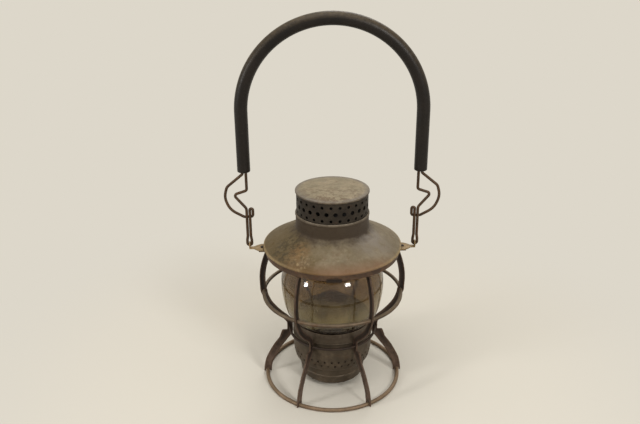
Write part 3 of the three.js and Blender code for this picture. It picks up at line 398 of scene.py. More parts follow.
def rod(start, end, radius, sides=16):
    """Cylinder between two points: two circles and what joins them. The circles start across a slanting
    direction that no rod here points along."""
    start, end = np.array(start, float), np.array(end, float)
    along = (end - start) / np.linalg.norm(end - start)
    side = np.cross(along, [0.3, 0.5, 0.8])
    side /= np.linalg.norm(side)
    v = (np.arange(sides) * TAU / sides)[:, None]
    circle = radius * (side * np.cos(v) + np.cross(along, side) * np.sin(v))
    points = np.vstack([start + circle, end + circle])
    faces = grid_faces(2, sides, False, True) + [list(range(sides))[::-1], list(range(sides, 2 * sides))]
    return points, outward(points, faces)


def block(low, high):
    """Box between two corners."""
    corners = [(x, y, z) for z in (low[2], high[2]) for y in (low[1], high[1]) for x in (low[0], high[0])]
    faces = [[0, 2, 3, 1], [4, 5, 7, 6], [0, 1, 5, 4], [2, 6, 7, 3], [0, 4, 6, 2], [1, 3, 7, 5]]
    return np.array(corners, float), faces


def wedge(inner, outer, low, high, start, end, steps=8):
    """Part of a thick ring: the section (inner..outer, low..high) carried from one angle to another."""
    u = np.linspace(start, end, steps + 1)[:, None]
    r = np.array([inner, outer, outer, inner])[None, :]
    z = np.array([low, low, high, high])[None, :] + 0 * u
    points = np.stack([r * np.cos(u), r * np.sin(u), z], -1).reshape(-1, 3)
    last = len(points)
    faces = grid_faces(steps + 1, 4, False, True) + [[0, 1, 2, 3], [last - 1, last - 2, last - 3, last - 4]]
    return points, outward(points, faces)


def pierced_wall(rows, cells, radius_at, sectors=16):
    """Wall f(u, v) = (R(v) cos u, R(v) sin u, v), one sheet thick, with a round hole in each cell of a row.

    rows lists (lowest, hole's height, highest, hole's radius, shift in cells). Each cell is a ring of quads
    between its own rectangle and its hole's circle, and neighbouring cells share their points."""
    pitch = TAU / cells
    side = sectors // 4
    t = np.arange(side) / side - 0.5
    half = np.full(side, 0.5)
    square = np.concatenate([np.stack(pair, 1) for pair in ((half, t), (-t, half), (-half, -t), (t, -half))])
    turn = (np.arange(sectors) - side / 2) * TAU / sectors
    centres = np.arange(cells)[:, None] * pitch
    flat = []
    for low, middle, high, hole, shift in rows:
        u = centres + shift * pitch
        reach = radius_at(np.array([middle]))[0]
        up = (low + high) / 2 + square[:, 1] * (high - low) + 0 * u
        flat.append(np.stack([u + square[:, 0] * pitch, up], -1))
        flat.append(np.stack([u + hole * np.cos(turn) / reach, middle + hole * np.sin(turn) + 0 * u], -1))
    wall = np.array(flat)
    around = np.round((wall[..., 0] % TAU) * 1e5) % round(TAU * 1e5)
    keys = np.stack([around, np.round(wall[..., 1] * 1e4)], -1)
    _, first, place = np.unique(keys.reshape(-1, 2), axis=0, return_index=True, return_inverse=True)
    place = place.reshape(len(rows), 2, cells, sectors)
    edge, ring = place[:, 0], place[:, 1]
    quads = np.stack([edge, np.roll(edge, -1, -1), np.roll(ring, -1, -1), ring], -1).reshape(-1, 4)
    u, v = wall.reshape(-1, 2)[first].T
    reach = radius_at(v)
    outer = np.stack([reach * np.cos(u), reach * np.sin(u), v], -1)
    inner = np.stack([(reach - SHEET) * np.cos(u), (reach - SHEET) * np.sin(u), v], -1)
    count = len(u)
    sides = np.concatenate([quads[:, [k, (k + 1) % 4]] for k in range(4)])
    start, end = sides[~np.isin(sides[:, 0] * count + sides[:, 1], sides[:, 1] * count + sides[:, 0])].T
    rims = np.stack([end, start, start + count, end + count], -1)
    faces = np.concatenate([quads, quads[:, ::-1] + count, rims]).tolist()
    points = np.vstack([outer, inner])
    return points, outward(points, faces)


def rubbed_at(points, height, spread):
    """Wear that is whole at a height and falls off as exp(-(distance / spread) squared)."""
    return np.exp(-((points[:, 2] - height) / spread) ** 2)


def applied(obj):
    """Takes every modifier on the object into its mesh."""
    graph = bpy.context.evaluated_depsgraph_get()
    mesh = bpy.data.meshes.new_from_object(obj.evaluated_get(graph))
    obj.modifiers.clear()
    obj.data = mesh
    return obj


def cut(obj, *cutters):
    """Cuts closed (points, faces) bodies out of a piece."""
    for points, faces in cutters:
        mesh = new_mesh("cutter", points, faces)
        tool = bpy.data.objects.new("cutter", mesh)
        bpy.context.scene.collection.objects.link(tool)
        modifier = obj.modifiers.new("cut", "BOOLEAN")
        modifier.object = tool
        modifier.operation = "DIFFERENCE"
        modifier.solver = "EXACT"
        applied(obj)
        bpy.data.objects.remove(tool)
        bpy.data.meshes.remove(mesh)
    obj.data.set_sharp_from_angle(angle=math.radians(SMOOTH_ANGLE))
    return obj


def softened(name, node, material, body, width, segments=2):
    """A small pressed or turned part from its solid, with its edges broken by a narrow round."""
    obj = bpy.data.objects.new(name, NODES[node].data.copy())
    dressed(obj, material, body, [node])
    weld = obj.modifiers.new("weld", "WELD")
    weld.merge_threshold = 0.01 * MM
    flat = obj.modifiers.new("flat", "DECIMATE")
    flat.decimate_type = "DISSOLVE"
    flat.angle_limit = math.radians(1)
    bevel = obj.modifiers.new("bevel", "BEVEL")
    bevel.width = width * MM
    bevel.segments = segments
    bevel.limit_method = "ANGLE"
    bevel.angle_limit = math.radians(32)
    applied(obj)
    obj.data.shade_smooth()
    obj.data.set_sharp_from_angle(angle=math.radians(40))
    return obj


# Materials
def linear(hex_colour):
    """Linear colour from a hex sRGB one."""
    channels = [int(hex_colour[i:i + 2], 16) / 255 for i in (1, 3, 5)]
    return [c / 12.92 if c <= 0.04045 else ((c + 0.055) / 1.055) ** 2.4 for c in channels] + [1.0]


def add(tree, kind, inputs=None, out=0, **settings):
    """Adds a node with its settings, and values or other nodes' outputs at its inputs. Gives one output.
    Sockets go by name, or by number where a node has several of one name."""
    node = tree.nodes.new(kind)
    for key, value in settings.items():
        setattr(node, key, value)
    for key, value in (inputs or {}).items():
        if isinstance(value, bpy.types.NodeSocket):
            tree.links.new(value, node.inputs[key])
        else:
            node.inputs[key].default_value = value
    return node.outputs[out]


def new_material(name):
    """Material with its tree, its shader and the place on the piece in metres."""
    material = bpy.data.materials.new(name)
    material.use_nodes = True
    tree = material.node_tree
    return material, tree, tree.nodes["Principled BSDF"], add(tree, "ShaderNodeTexCoord", out="Object")


def patches(tree, place, size, low, high, detail=4.0, roughness=0.6, bottom=0.0, top=1.0):
    """Share from bottom to top over patches about size mm across: noise, spread from low to high."""
    noise = add(tree, "ShaderNodeTexNoise",
                {"Vector": place, "Scale": 1 / (size * MM), "Detail": detail, "Roughness": roughness})
    limits = {"Value": noise, "From Min": low, "From Max": high, "To Min": bottom, "To Max": top}
    return add(tree, "ShaderNodeMapRange", limits, clamp=True)


def blended(tree, colour, *layers):
    """Colour under layers of (share, hex colour), each laid over the ones before it. A Mix node has its two
    colours at inputs 6 and 7, and gives their blend at output 2."""
    for share, top in layers:
        colour = add(tree, "ShaderNodeMix", {0: share, 6: colour, 7: linear(top)}, 2, data_type="RGBA")
    return colour


def upward(tree, whole):
    """Share that grows as the surface looks up: whole where its normal rises to the value named whole."""
    normal = add(tree, "ShaderNodeTexCoord", out="Normal")
    rise = add(tree, "ShaderNodeSeparateXYZ", {"Vector": normal}, "Z")
    return add(tree, "ShaderNodeMapRange", {"Value": rise, "From Min": 0.1, "From Max": whole}, clamp=True)


def above(tree, place, start, end):
    """Share that goes from nothing at start to whole at end, in mm of height."""
    height = add(tree, "ShaderNodeSeparateXYZ", {"Vector": place}, "Z")
    limits = {"Value": height, "From Min": start * MM, "From Max": end * MM}
    return add(tree, "ShaderNodeMapRange", limits, clamp=True)


def creeping(tree, place, axis, size, stray, start, end, least=0.0, most=1.0):
    """Share that goes from least at start to most at end, in mm along an axis. Patches about size mm across
    shift it by up to stray mm, so that soot or grease ends in an uneven edge."""
    along = add(tree, "ShaderNodeSeparateXYZ", {"Vector": place}, axis)
    shift = patches(tree, place, size, 0.3, 0.7, bottom=-stray * MM, top=stray * MM)
    strayed = add(tree, "ShaderNodeMath", {0: along, 1: shift}, operation="ADD")
    limits = {"Value": strayed, "From Min": start * MM, "From Max": end * MM, "To Min": least, "To Max": most}
    return add(tree, "ShaderNodeMapRange", limits, clamp=True)


def away_from(tree, place, centre, start, end):
    """Share that goes from nothing at start to whole at end, in mm from a centre seen from above."""
    flat = add(tree, "ShaderNodeVectorMath", {0: place, 1: (1.0, 1.0, 0.0)}, operation="MULTIPLY")
    middle = (centre[0] * MM, centre[1] * MM, 0.0)
    reach = add(tree, "ShaderNodeVectorMath", {0: flat, 1: middle}, "Value", operation="DISTANCE")
    limits = {"Value": reach, "From Min": start * MM, "From Max": end * MM}
    return add(tree, "ShaderNodeMapRange", limits, clamp=True)


def weathered(name, base, dark, rust, worn, dust, metallic, rough, rust_share, dust_share, grime=None):
    """Old steel or brass: broad tarnish clouds and finer stains from base to dark, rust in specks and
    patches, edges rubbed to worn, and dust that has settled where the surface looks up. The specks are drawn
    a little coarser than real ones, which would be too fine to show. rough is the least and the greatest
    roughness."""
    material, tree, shader, place = new_material(name)
    clouds = patches(tree, place, 17, 0.36, 0.64)
    stains = patches(tree, place, 5, 0.42, 0.66, detail=5.0, roughness=0.65, top=0.6)
    fine, full = 0.66 - 0.14 * rust_share, 0.74 - 0.1 * rust_share
    specks = patches(tree, place, 1.6, fine, full, detail=6.0, roughness=0.7, top=0.75)
    spread = patches(tree, place, 9, 0.60 - 0.12 * rust_share, full, detail=5.0, roughness=0.7, top=0.65)
    rusted = add(tree, "ShaderNodeMath", {0: specks, 1: spread}, operation="ADD", use_clamp=True)
    drifts = patches(tree, place, 3.2, 0.34, 0.68, detail=5.0, bottom=0.35 * dust_share, top=dust_share)
    dusty = add(tree, "ShaderNodeMath", {0: upward(tree, 0.9), 1: drifts}, operation="MULTIPLY")
    edges = add(tree, "ShaderNodeAttribute", out="Fac", attribute_name="wear")
    uneven = patches(tree, place, 4, 0.3, 0.6, bottom=0.25, top=0.85)
    rubbed = add(tree, "ShaderNodeMath", {0: edges, 1: uneven}, operation="MULTIPLY")
    colour = blended(tree, linear(base), (clouds, dark), (stains, dark), (rusted, rust), (dusty, dust))
    if grime:
        colour = grime(tree, place, colour)
    tree.links.new(blended(tree, colour, (rubbed, worn)), shader.inputs["Base Color"])
    grain = patches(tree, place, 0.8, 0.3, 0.7)
    dull = add(tree, "ShaderNodeMapRange", {"Value": grain, "To Min": rough[0], "To Max": rough[1]})
    dull = add(tree, "ShaderNodeMath", {0: rusted, 1: 0.2, 2: dull}, operation="MULTIPLY_ADD")
    tree.links.new(dull, shader.inputs["Roughness"])
    grain = add(tree, "ShaderNodeMath", {0: grain, 1: 0.35}, operation="MULTIPLY")
    relief = add(tree, "ShaderNodeMath", {0: rusted, 1: 0.6, 2: grain}, operation="MULTIPLY_ADD")
    bump = add(tree, "ShaderNodeBump", {"Height": relief, "Distance": 0.12 * MM, "Strength": 0.8})
    tree.links.new(bump, shader.inputs["Normal"])
    shader.inputs["Metallic"].default_value = metallic
    shader.inputs["Specular IOR Level"].default_value = 0.3
    return material


# Where the lantern's own axis stands, seen from above
AXIS = (0, 0)

# Spots on the brim, a grey patch of painted sheen, then blistered, rusty and scabbed: centre, how far from it
# in mm
#  they are whole and where they end, and then their patches
BRIM_SPOTS = (((36, -22), 8, 34, (14, 0.35, 0.6, 4.0, 0.6, 0.1, 0.75)),
              ((-47, -36), 12, 27, (4, 0.44, 0.56, 5.0, 0.7, 0.0, 0.85)),
              ((-37, -47), 4, 17, (6, 0.4, 0.54, 5.0, 0.7, 0.0, 0.6)),
              ((-33, -59), 3, 15, (3.4, 0.52, 0.6, 5.0, 0.7, 0.0, 0.7)))


def brim_grime(tree, place, colour):
    """Soot over the collar that thins out on the brim, a greyer patch of painted sheen on the right, a blush
    of rust along the front edge, and painted shade that darkens the left side, which is blistered and rusty
    towards the front, with a few pale scabs. The bead at the collar's top is rubbed paler."""
    soot = creeping(tree, place, "Z", size=9, stray=2.5, start=187.5, end=194, most=0.9)
    # Painted shade: the left side is darker, as though the light came from the right
    painted_left_shade = creeping(tree, place, "X", size=16, stray=22, start=2, end=-44, most=0.62)
    mottle = patches(tree, place, 7, 0.46, 0.6, detail=5.0, roughness=0.7, top=0.5)
    spots = []
    for centre, near, far, kind in BRIM_SPOTS:
        share = away_from(tree, place, centre, far, near)
        spots.append(add(tree, "ShaderNodeMath", {0: share, 1: patches(tree, place, *kind)},
                         operation="MULTIPLY"))
    # The grey patch on the right is a painted sheen, where light glances off the tin
    painted_sheen, blistered, rusty, scabs = spots
    edge = away_from(tree, place, AXIS, 63, 76)
    front = creeping(tree, place, "Y", size=12, stray=9, start=-36, end=-64, most=0.75)
    blush = add(tree, "ShaderNodeMath", {0: edge, 1: front}, operation="MULTIPLY")
    bead = add(tree, "ShaderNodeMath", {0: above(tree, place, COLLAR_TOP - COLLAR_BEAD_HEIGHT, COLLAR_TOP),
                                        1: patches(tree, place, 9, 0.3, 0.6, bottom=0.3)},
               operation="MULTIPLY")
    return blended(tree, colour, (mottle, "#6a5e46"), (painted_sheen, "#8f877f"), (blush, "#7a5a40"),
                   (painted_left_shade, "#55431d"), (blistered, "#453c2b"), (rusty, "#896a46"), (scabs, "#a5916d"),
                   (soot, "#3f342a"), (bead, "#7a6f60"))


def cap_grime(tree, place, colour):
    """Faint darker clouds, brown freckles that thicken towards the cap's front, and a dark uneven rim."""
    clouds = patches(tree, place, 12, 0.45, 0.6, detail=3.0, top=0.6)
    front = creeping(tree, place, "Y", size=9, stray=8, start=6, end=-32, least=0.15)
    spots = patches(tree, place, 6, 0.47, 0.56, roughness=0.65, top=0.8)
    freckles = add(tree, "ShaderNodeMath", {0: front, 1: spots}, operation="MULTIPLY")
    rim = away_from(tree, place, AXIS, 35, 40.2)
    uneven = patches(tree, place, 8, 0.3, 0.6, bottom=0.45, top=0.9)
    rim = add(tree, "ShaderNodeMath", {0: rim, 1: uneven}, operation="MULTIPLY")
    return blended(tree, colour, (clouds, "#7c735c"), (freckles, "#624c37"), (rim, "#554c45"))


def strip_grime(tree, place, colour):
    """Strips darker the higher they go round the globe, and scraped to a grey-brown down the legs."""
    soot = creeping(tree, place, "Z", size=8, stray=6, start=70, end=135, most=0.7)
    legs = creeping(tree, place, "Z", size=8, stray=6, start=60, end=16, most=0.8)
    uneven = patches(tree, place, 6, 0.35, 0.6, bottom=0.3)
    scraped = add(tree, "ShaderNodeMath", {0: legs, 1: uneven}, operation="MULTIPLY")
    return blended(tree, colour, (soot, "#241d18"), (scraped, "#746053"))


def housing_grime(tree, place, colour):
    """Soot and oil inside the globe plate's band, where it is never wiped, and painted shade on the band's
    upper edge and the seat, under the globe and the guard wire."""
    inside = away_from(tree, place, AXIS, HOUSING_WALL - 0.6, HOUSING_WALL - 2 * SHEET)
    sooty = add(tree, "ShaderNodeMath", {0: inside, 1: above(tree, place, BAND_BOTTOM - 2, BAND_BOTTOM)},
                operation="MULTIPLY")
    # Painted shade: the band darkens above 70 mm, where the globe and guard wire shade it
    painted_band_shade = creeping(tree, place, "Z", size=8, stray=1.2, start=70, end=74, most=0.8)
    return blended(tree, colour, (painted_band_shade, "#2c221b"), (sooty, "#211a15"))


def cone_grime(tree, place, colour):
    """Soot burnt on to the top of the burner's cone."""
    soot = creeping(tree, place, "Z", size=5, stray=2, start=88, end=96, most=0.95)
    return blended(tree, colour, (soot, "#0e0b09"))


def smoky_glass():
    """Blown clear soda glass with lamp smoke and dirt on it: a thin uneven film, browner above, dustier below
    and darker at the foot as painted shade, through which the burner still shows. Light on its way to the
    burner passes straight through, as it does through a thin wall."""
    material, tree, shader, place = new_material("blown_clear_glass_smoked")
    shader.inputs["Transmission Weight"].default_value = 1.0
    shader.inputs["Roughness"].default_value = 0.04
    shader.inputs["IOR"].default_value = 1.48
    shader.inputs["Base Color"].default_value = linear("#c2ad8c")
    waves = patches(tree, place, 9, 0.2, 0.8, detail=2.0)
    bump = add(tree, "ShaderNodeBump", {"Height": waves, "Distance": 0.25 * MM, "Strength": 0.35})
    tree.links.new(bump, shader.inputs["Normal"])
    dusty = creeping(tree, place, "Z", size=12, stray=7, start=136, end=104)
    # Painted shade: the film's colour turns near black at the globe's foot, where the plate and guard wire
    # shade it
    foot = creeping(tree, place, "Z", size=12, stray=7, start=98, end=89)
    smoke = blended(tree, linear("#493628"), (dusty, "#918359"), (foot, "#261d17"))
    film = add(tree, "ShaderNodeBsdfPrincipled", {"Base Color": smoke, "Roughness": 0.45})
    clouds = patches(tree, place, 15, 0.36, 0.66, bottom=0.11, top=0.29)
    specks = patches(tree, place, 1.6, 0.60, 0.74, roughness=0.7, top=0.2)
    share = add(tree, "ShaderNodeMath", {0: clouds, 1: specks}, operation="ADD")
    share = add(tree, "ShaderNodeMath", {0: dusty, 1: 0.14, 2: share}, operation="MULTIPLY_ADD")
    dirty = add(tree, "ShaderNodeMixShader", {0: share, 1: shader.outputs[0], 2: film})
    passing = add(tree, "ShaderNodeMath", {0: add(tree, "ShaderNodeLightPath", out="Is Shadow Ray"),
                                           1: add(tree, "ShaderNodeLightPath", out="Is Diffuse Ray")},
                  operation="ADD", use_clamp=True)
    clear = add(tree, "ShaderNodeBsdfTransparent", {"Color": linear("#ded3bf")})
    both = add(tree, "ShaderNodeMixShader", {0: passing, 1: dirty, 2: clear})
    tree.links.new(both, tree.nodes["Material Output"].inputs["Surface"])
    return material


def hose_rubber():
    """Moulded black rubber hose, handled for years: near black with a soft broad sheen, scuffed grey here
    and there, and paler on top with a little dust and a painted sheen from the light above."""
    material, tree, shader, place = new_material("moulded_black_rubber_hose")
    clouds = patches(tree, place, 24, 0.35, 0.65)
    scuffs = patches(tree, place, 2.5, 0.58, 0.74, detail=6.0, roughness=0.7, top=0.3)
    # Dust on the upward faces, drawn paler than dust alone, so that it also stands in as painted sheen from
    # above
    drifts = patches(tree, place, 5, 0.35, 0.65, bottom=0.4, top=0.9)
    dust = add(tree, "ShaderNodeMath", {0: upward(tree, 0.85), 1: drifts}, operation="MULTIPLY")
    colour = blended(tree, linear("#120e0b"), (clouds, "#1c1611"), (scuffs, "#3a3229"), (dust, "#5a4d3a"))
    tree.links.new(colour, shader.inputs["Base Color"])
    dull = patches(tree, place, 1.5, 0.3, 0.7, bottom=0.33, top=0.5)
    tree.links.new(dull, shader.inputs["Roughness"])
    shader.inputs["Specular IOR Level"].default_value = 0.25
    grain = patches(tree, place, 0.9, 0.3, 0.7, detail=5.0)
    bump = add(tree, "ShaderNodeBump", {"Height": grain, "Distance": 0.1 * MM, "Strength": 0.6})
    tree.links.new(bump, shader.inputs["Normal"])
    return material


def cotton_wick():
    """Flat woven cotton tape: a fine diagonal weave in off-white, charred where it burns. The threads are
    drawn 2 mm apart, coarser than the real ones, so that they show."""
    material, tree, shader, place = new_material("woven_cotton_tape")
    shader.inputs["Roughness"].default_value = 0.95
    threads = {"Vector": place, "Scale": 1 / (2 * MM), "Distortion": 1.5, "Detail": 2.0}
    weave = add(tree, "ShaderNodeTexWave", threads, "Fac", bands_direction="DIAGONAL")
    char = above(tree, place, 93, 96.5)
    colour = blended(tree, linear("#b9ac8c"), (weave, "#d8cfb6"), (char, "#171310"))
    tree.links.new(colour, shader.inputs["Base Color"])
    bump = add(tree, "ShaderNodeBump", {"Height": weave, "Distance": 0.15 * MM, "Strength": 1.0})
    tree.links.new(bump, shader.inputs["Normal"])
    return material


make_camera()

# Spun tinned steel gone dull: olive-tan, mottled, its rolled edge rubbed to a lighter tan
BRIM_TIN = weathered("spun_tinned_steel_dull", "#82755d", "#665944", "#6a4c32", "#a38d68", "#8f8470",
                     metallic=0.35, rough=(0.5, 0.75), rust_share=0.5, dust_share=0.5, grime=brim_grime)
# Pressed tinned steel, dustier because it lies flat: paler, with rust freckles in front
CAP_TIN = weathered("pressed_tinned_steel_dusty", "#94846a", "#786b54", "#5d4a35", "#8f877b", "#a3977d",
                    metallic=0.35, rough=(0.52, 0.78), rust_share=0.45, dust_share=0.55, grime=cap_grime)
# Sheet steel under baked-on soot: dark grey-brown and nearly matt
SOOT_SHEET = weathered("sooted_sheet_steel", "#3c352c", "#29231d", "#46352a", "#5f5448", "#4c4438",
                       metallic=0.45, rough=(0.45, 0.7), rust_share=0.3, dust_share=0.25)
# The same sheet inside the crown, black with lampblack that no hand reaches
LAMP_BLACK = weathered("lampblacked_sheet_steel", "#191511", "#100d0b", "#2a2019", "#2e2822", "#221d18",
                       metallic=0.2, rough=(0.6, 0.85), rust_share=0.2, dust_share=0.1)
# Drawn sheet under old lacquer and oil: olive-brown with a soft gleam
HOUSING_SHEET = weathered("drawn_sheet_oily_lacquer", "#5c5042", "#42392e", "#54412f", "#7d7060", "#665a48",
                          metallic=0.45, rough=(0.36, 0.62), rust_share=0.4, dust_share=0.3,
                          grime=housing_grime)
# Hot-rolled strip with thin rust: brown-black, its edges rubbed to grey-brown
STRIP_STEEL = weathered("pressed_steel_strip_rusted", "#3c3028", "#261e19", "#4d3527", "#5d4a3d", "#554639",
                        metallic=0.4, rough=(0.45, 0.7), rust_share=0.4, dust_share=0.25, grime=strip_grime)
# Rolled flat hoop under the brim, where rust shows through thin soot: reddish brown
HOOP_STEEL = weathered("rolled_flat_hoop_rusty", "#66503d", "#43342a", "#6f4b34", "#80664f", "#6f5e4a",
                       metallic=0.35, rough=(0.45, 0.7), rust_share=0.5, dust_share=0.3)
# Drawn steel wire where the lantern was set down: scraped to a lighter tan-brown
BASE_STEEL = weathered("drawn_wire_scraped", "#8a7460", "#685744", "#6e5340", "#a28d76", "#9a8468",
                       metallic=0.4, rough=(0.42, 0.7), rust_share=0.5, dust_share=0.45)
# Drawn steel wire that hands and knees rub: brown, with tan dust on its upper side
GUARD_STEEL = weathered("drawn_wire_rubbed", "#655544", "#42362b", "#5e422e", "#8b7962", "#8c7c65",
                        metallic=0.4, rough=(0.42, 0.66), rust_share=0.45, dust_share=0.6)
# Bent spring wire with an even brown rust: dark and reddish
BAIL_STEEL = weathered("spring_wire_brown_rust", "#5a4633", "#3e2f22", "#643f27", "#776049", "#6a5744",
                       metallic=0.45, rough=(0.42, 0.66), rust_share=0.5, dust_share=0.3)
# Pressed tin that has kept some of its tin: light tan with brown spots
EAR_TIN = weathered("pressed_tin_light", "#9a8260", "#776344", "#664829", "#b39d76", "#a18c69",
                    metallic=0.4, rough=(0.45, 0.68), rust_share=0.5, dust_share=0.4)
# Drawn brass, tarnished to a dusty brown-yellow
BRASS = weathered("drawn_brass_tarnished", "#8a7650", "#5e4f36", "#44372a", "#a9905c", "#83745a",
                  metallic=0.7, rough=(0.36, 0.6), rust_share=0.35, dust_share=0.3)
# The same brass on the cone, black with soot round the flame
CONE_BRASS = weathered("drawn_brass_sooted", "#7f6d4e", "#54462f", "#3c3024", "#8f7b54", "#75674e",
                       metallic=0.55, rough=(0.4, 0.66), rust_share=0.4, dust_share=0.3, grime=cone_grime)
# Blown glass, moulded rubber and woven cotton, as their functions say
GLASS = smoky_glass()
RUBBER = hose_rubber()
COTTON = cotton_wick()


# Hood
def brim_line_height(radius):
    """Height of the brim's outer face at a radius."""
    start_radius = BRIM_RADIUS - BEAD + BEAD * math.sin(PITCH)
    start_height = BRIM_HEIGHT + BEAD * math.cos(PITCH)
    return start_height + (start_radius - radius) * math.tan(PITCH)


# Dents in the brim: angle and half width in radians, radius and depth
BRIM_DENTS = ((-1.9, 0.16, 66, 0.5), (-0.7, 0.2, 60, 0.45), (0.9, 0.25, 63, 0.5), (-2.5, 0.12, 58, 0.35))
DENT_LENGTH = 7
WAVE_START = 45
WAVE_FADE = 32


def hood_warp(radius, height, angle):
    """Hand-worn brim: two long shallow waves that fade to nothing at the collar, less four soft round dents.
    A dent's depth falls off as exp(-(distance / size) squared)."""
    share = np.clip((radius - WAVE_START) / WAVE_FADE, 0, 1)
    wave = 0.35 * np.sin(2 * angle + 0.6) + 0.2 * np.sin(5 * angle + 1.1)
    dents = 0
    for middle, width, reach, depth in BRIM_DENTS:
        turn = np.angle(np.exp(1j * (angle - middle)))
        dents = dents + depth * np.exp(-(turn / width) ** 2 - ((radius - reach) / DENT_LENGTH) ** 2)
    return radius, height + share ** 2 * wave * 0.6 - dents


def make_hood():
    """Spun brim, fillet and collar: one sheet whose edge is rolled into a bead. The bead is rubbed bright,
    but for the front fifth, where rust has bloomed."""
    normal = math.pi / 2 - PITCH
    centre = np.array([BRIM_RADIUS - BEAD, BRIM_HEIGHT])
    bead_end = normal + math.acos((BEAD - SHEET) / BEAD)
    bead = arc(centre, BEAD, bead_end - TAU, normal, 22)
    middle = CROWN_RADIUS + FILLET
    tangent_radius = middle - FILLET * math.cos(normal)
    bend = (middle, brim_line_height(tangent_radius) + FILLET * math.sin(normal))
    outer = arc(bend, FILLET, math.pi + normal, math.pi, 10)
    inner = arc(bend, FILLET + SHEET, math.pi, math.pi + normal, 10)
    slope = np.linspace(bead[-1], outer[0], 24)[1:-1]
    foot = COLLAR_TOP - COLLAR_BEAD_HEIGHT
    third = COLLAR_BEAD_HEIGHT / 3
    collar = [outer[-1] + [0, FILLET / 2], (CROWN_RADIUS, foot), (CROWN_RADIUS + COLLAR_BEAD, foot + third),
              (CROWN_RADIUS + COLLAR_BEAD, COLLAR_TOP - third), (CROWN_RADIUS, COLLAR_TOP),
              (CROWN_RADIUS - SHEET, COLLAR_TOP), (CROWN_RADIUS - SHEET, foot), inner[0] + [0, FILLET / 2]]
    collar = rounded(collar, COLLAR_BEND, 4, closed=False)
    inner_end = centre + (BEAD - SHEET) * np.array([math.cos(normal), math.sin(normal)])
    underside = np.linspace(inner[-1], inner_end, 24)[1:-1]
    points, faces = lathe(np.vstack([bead, slope, outer, collar, inner, underside]), 192, hood_warp)
    from_edge = BRIM_RADIUS - np.hypot(points[:, 0], points[:, 1])
    rubbed = np.clip((1.2 * BEAD - from_edge) / (0.8 * BEAD), 0, 1)
    wear = rubbed * np.clip(2.2 + 2.3 * points[:, 1] / BRIM_RADIUS, 0, 1)
    add_piece("hood_spun_sheet", points, faces, BRIM_TIN, "hood", "tinned_sheet", ["hood"], wear)


# Dents in the cap: place, half width and half length, and depth
CAP_DENTS = ((-7, 20, 5, 4, 0.5), (14, -9, 9, 8, 0.35))


def cap_warp(radius, height, angle):
    """Flat cap with a thumb dent at the back, a shallow one in front and a slight wave round its edge. A
    dent's depth falls off as exp(-(distance / size) squared)."""
    sag = 0
    for x, y, width, length, depth in CAP_DENTS:
        across, along = radius * np.cos(angle) - x, radius * np.sin(angle) - y
        sag = sag + depth * np.exp(-(across / width) ** 2 - (along / length) ** 2)
    wave = 0.12 * np.sin(3 * angle) * np.clip(radius / CROWN_RADIUS, 0, 1) * (radius < CROWN_RADIUS - SHEET)
    return radius, height - sag + wave


def make_crown():
    """Vented drum, pressed cap with its skirt, and the smoke bell that shows through the vents."""
    drum = CROWN_RADIUS - SHEET
    bottom = COLLAR_TOP + CLEARANCE
    top = CROWN_TOP - SHEET - CLEARANCE - CAP_EDGE / 2
    low = (bottom + top) / 2 - VENT_PITCH - VENT_DROP
    middle, high = low + VENT_PITCH, low + 2 * VENT_PITCH
    first = (low + SMALL_VENT + middle - LARGE_VENT) / 2
    second = (middle + LARGE_VENT + high - SMALL_VENT) / 2
    rows = [(bottom, low, first, SMALL_VENT, 0.25),
            (first, middle, second, LARGE_VENT, 0.75),
            (second, high, top, SMALL_VENT, 0.25)]
    wall = pierced_wall(rows, VENTS, lambda v: np.full(len(v), drum))
    add_piece("crown_vented_drum", *wall, SOOT_SHEET, "hood", "dark_sheet", ["crown_drum"])

    inner = drum + CLEARANCE
    outer = inner + SHEET
    edge = CROWN_TOP - CAP_EDGE
    flat = 0.8 * outer
    skirt = [(inner, edge - CAP_SKIRT), (outer, edge - CAP_SKIRT), (outer, edge),
             (outer - SHEET / 2, edge + SHEET / 2), (flat, CROWN_TOP - CAP_EDGE / 3)]
    shares = ((1, 0), (0.69, 0.57), (0.31, 0.9), (0, 1))
    dome = spline([(a * flat, CROWN_TOP - CAP_EDGE / 3 * (1 - b)) for a, b in shares], 16)
    over = np.vstack([rounded(skirt, CAP_BEND, 4, closed=False), dome[1:]])
    under = np.vstack([dome[::-1] - [0, SHEET], [(inner, edge - SHEET)]])
    profile = np.vstack([over[::-1], under[::-1]])
    points, faces = lathe(profile, 160, cap_warp)
    wear = 0.6 * rubbed_at(points, edge + SHEET / 2, 0.35)
    add_piece("crown_pressed_cap", points, faces, CAP_TIN, "hood", "tinned_sheet", ["crown_cap"], wear)

    flange = CROWN_RADIUS - SHEET - CLEARANCE
    bell = [(BELL_RADIUS - SHEET, BELL_HEIGHT - SHEET), (flange, BELL_HEIGHT - SHEET), (flange, BELL_HEIGHT),
            (BELL_RADIUS, BELL_HEIGHT), (BELL_MOUTH, BELL_TOP), (BELL_MOUTH - SHEET, BELL_TOP),
            (BELL_RADIUS - SHEET, BELL_HEIGHT)]
    bell = lathe(rounded(bell, BELL_BEND, 3), 120)
    add_piece("smoke_bell_spun", *bell, LAMP_BLACK, "hood", "dark_sheet", ["smoke_bell"])


def make_globe_collar():
    """Cone under the brim that closes down on the globe's top, with a flat seat and a soft fold."""
    seat = GLOBE_BOTTOM + GLOBE_HEIGHT + CLEARANCE
    rim = GLOBE_TOP_RADIUS + GLOBE_WALL / 2
    top = brim_line_height(GLOBE_COLLAR_RADIUS) - SHEET / math.cos(PITCH) - 2 * CLEARANCE
    profile = [(GLOBE_COLLAR_SEAT, seat), (rim, seat), (GLOBE_COLLAR_RADIUS + SHEET, top - SHEET),
               (GLOBE_COLLAR_RADIUS, top), (rim - SHEET, seat + 1.5 * SHEET),
               (GLOBE_COLLAR_SEAT, seat + SHEET)]
    cone = lathe(rounded(profile, GLOBE_COLLAR_BEND, 3), 120)
    add_piece("globe_collar_spun", *cone, SOOT_SHEET, "hood", "dark_sheet", ["globe_collar"])


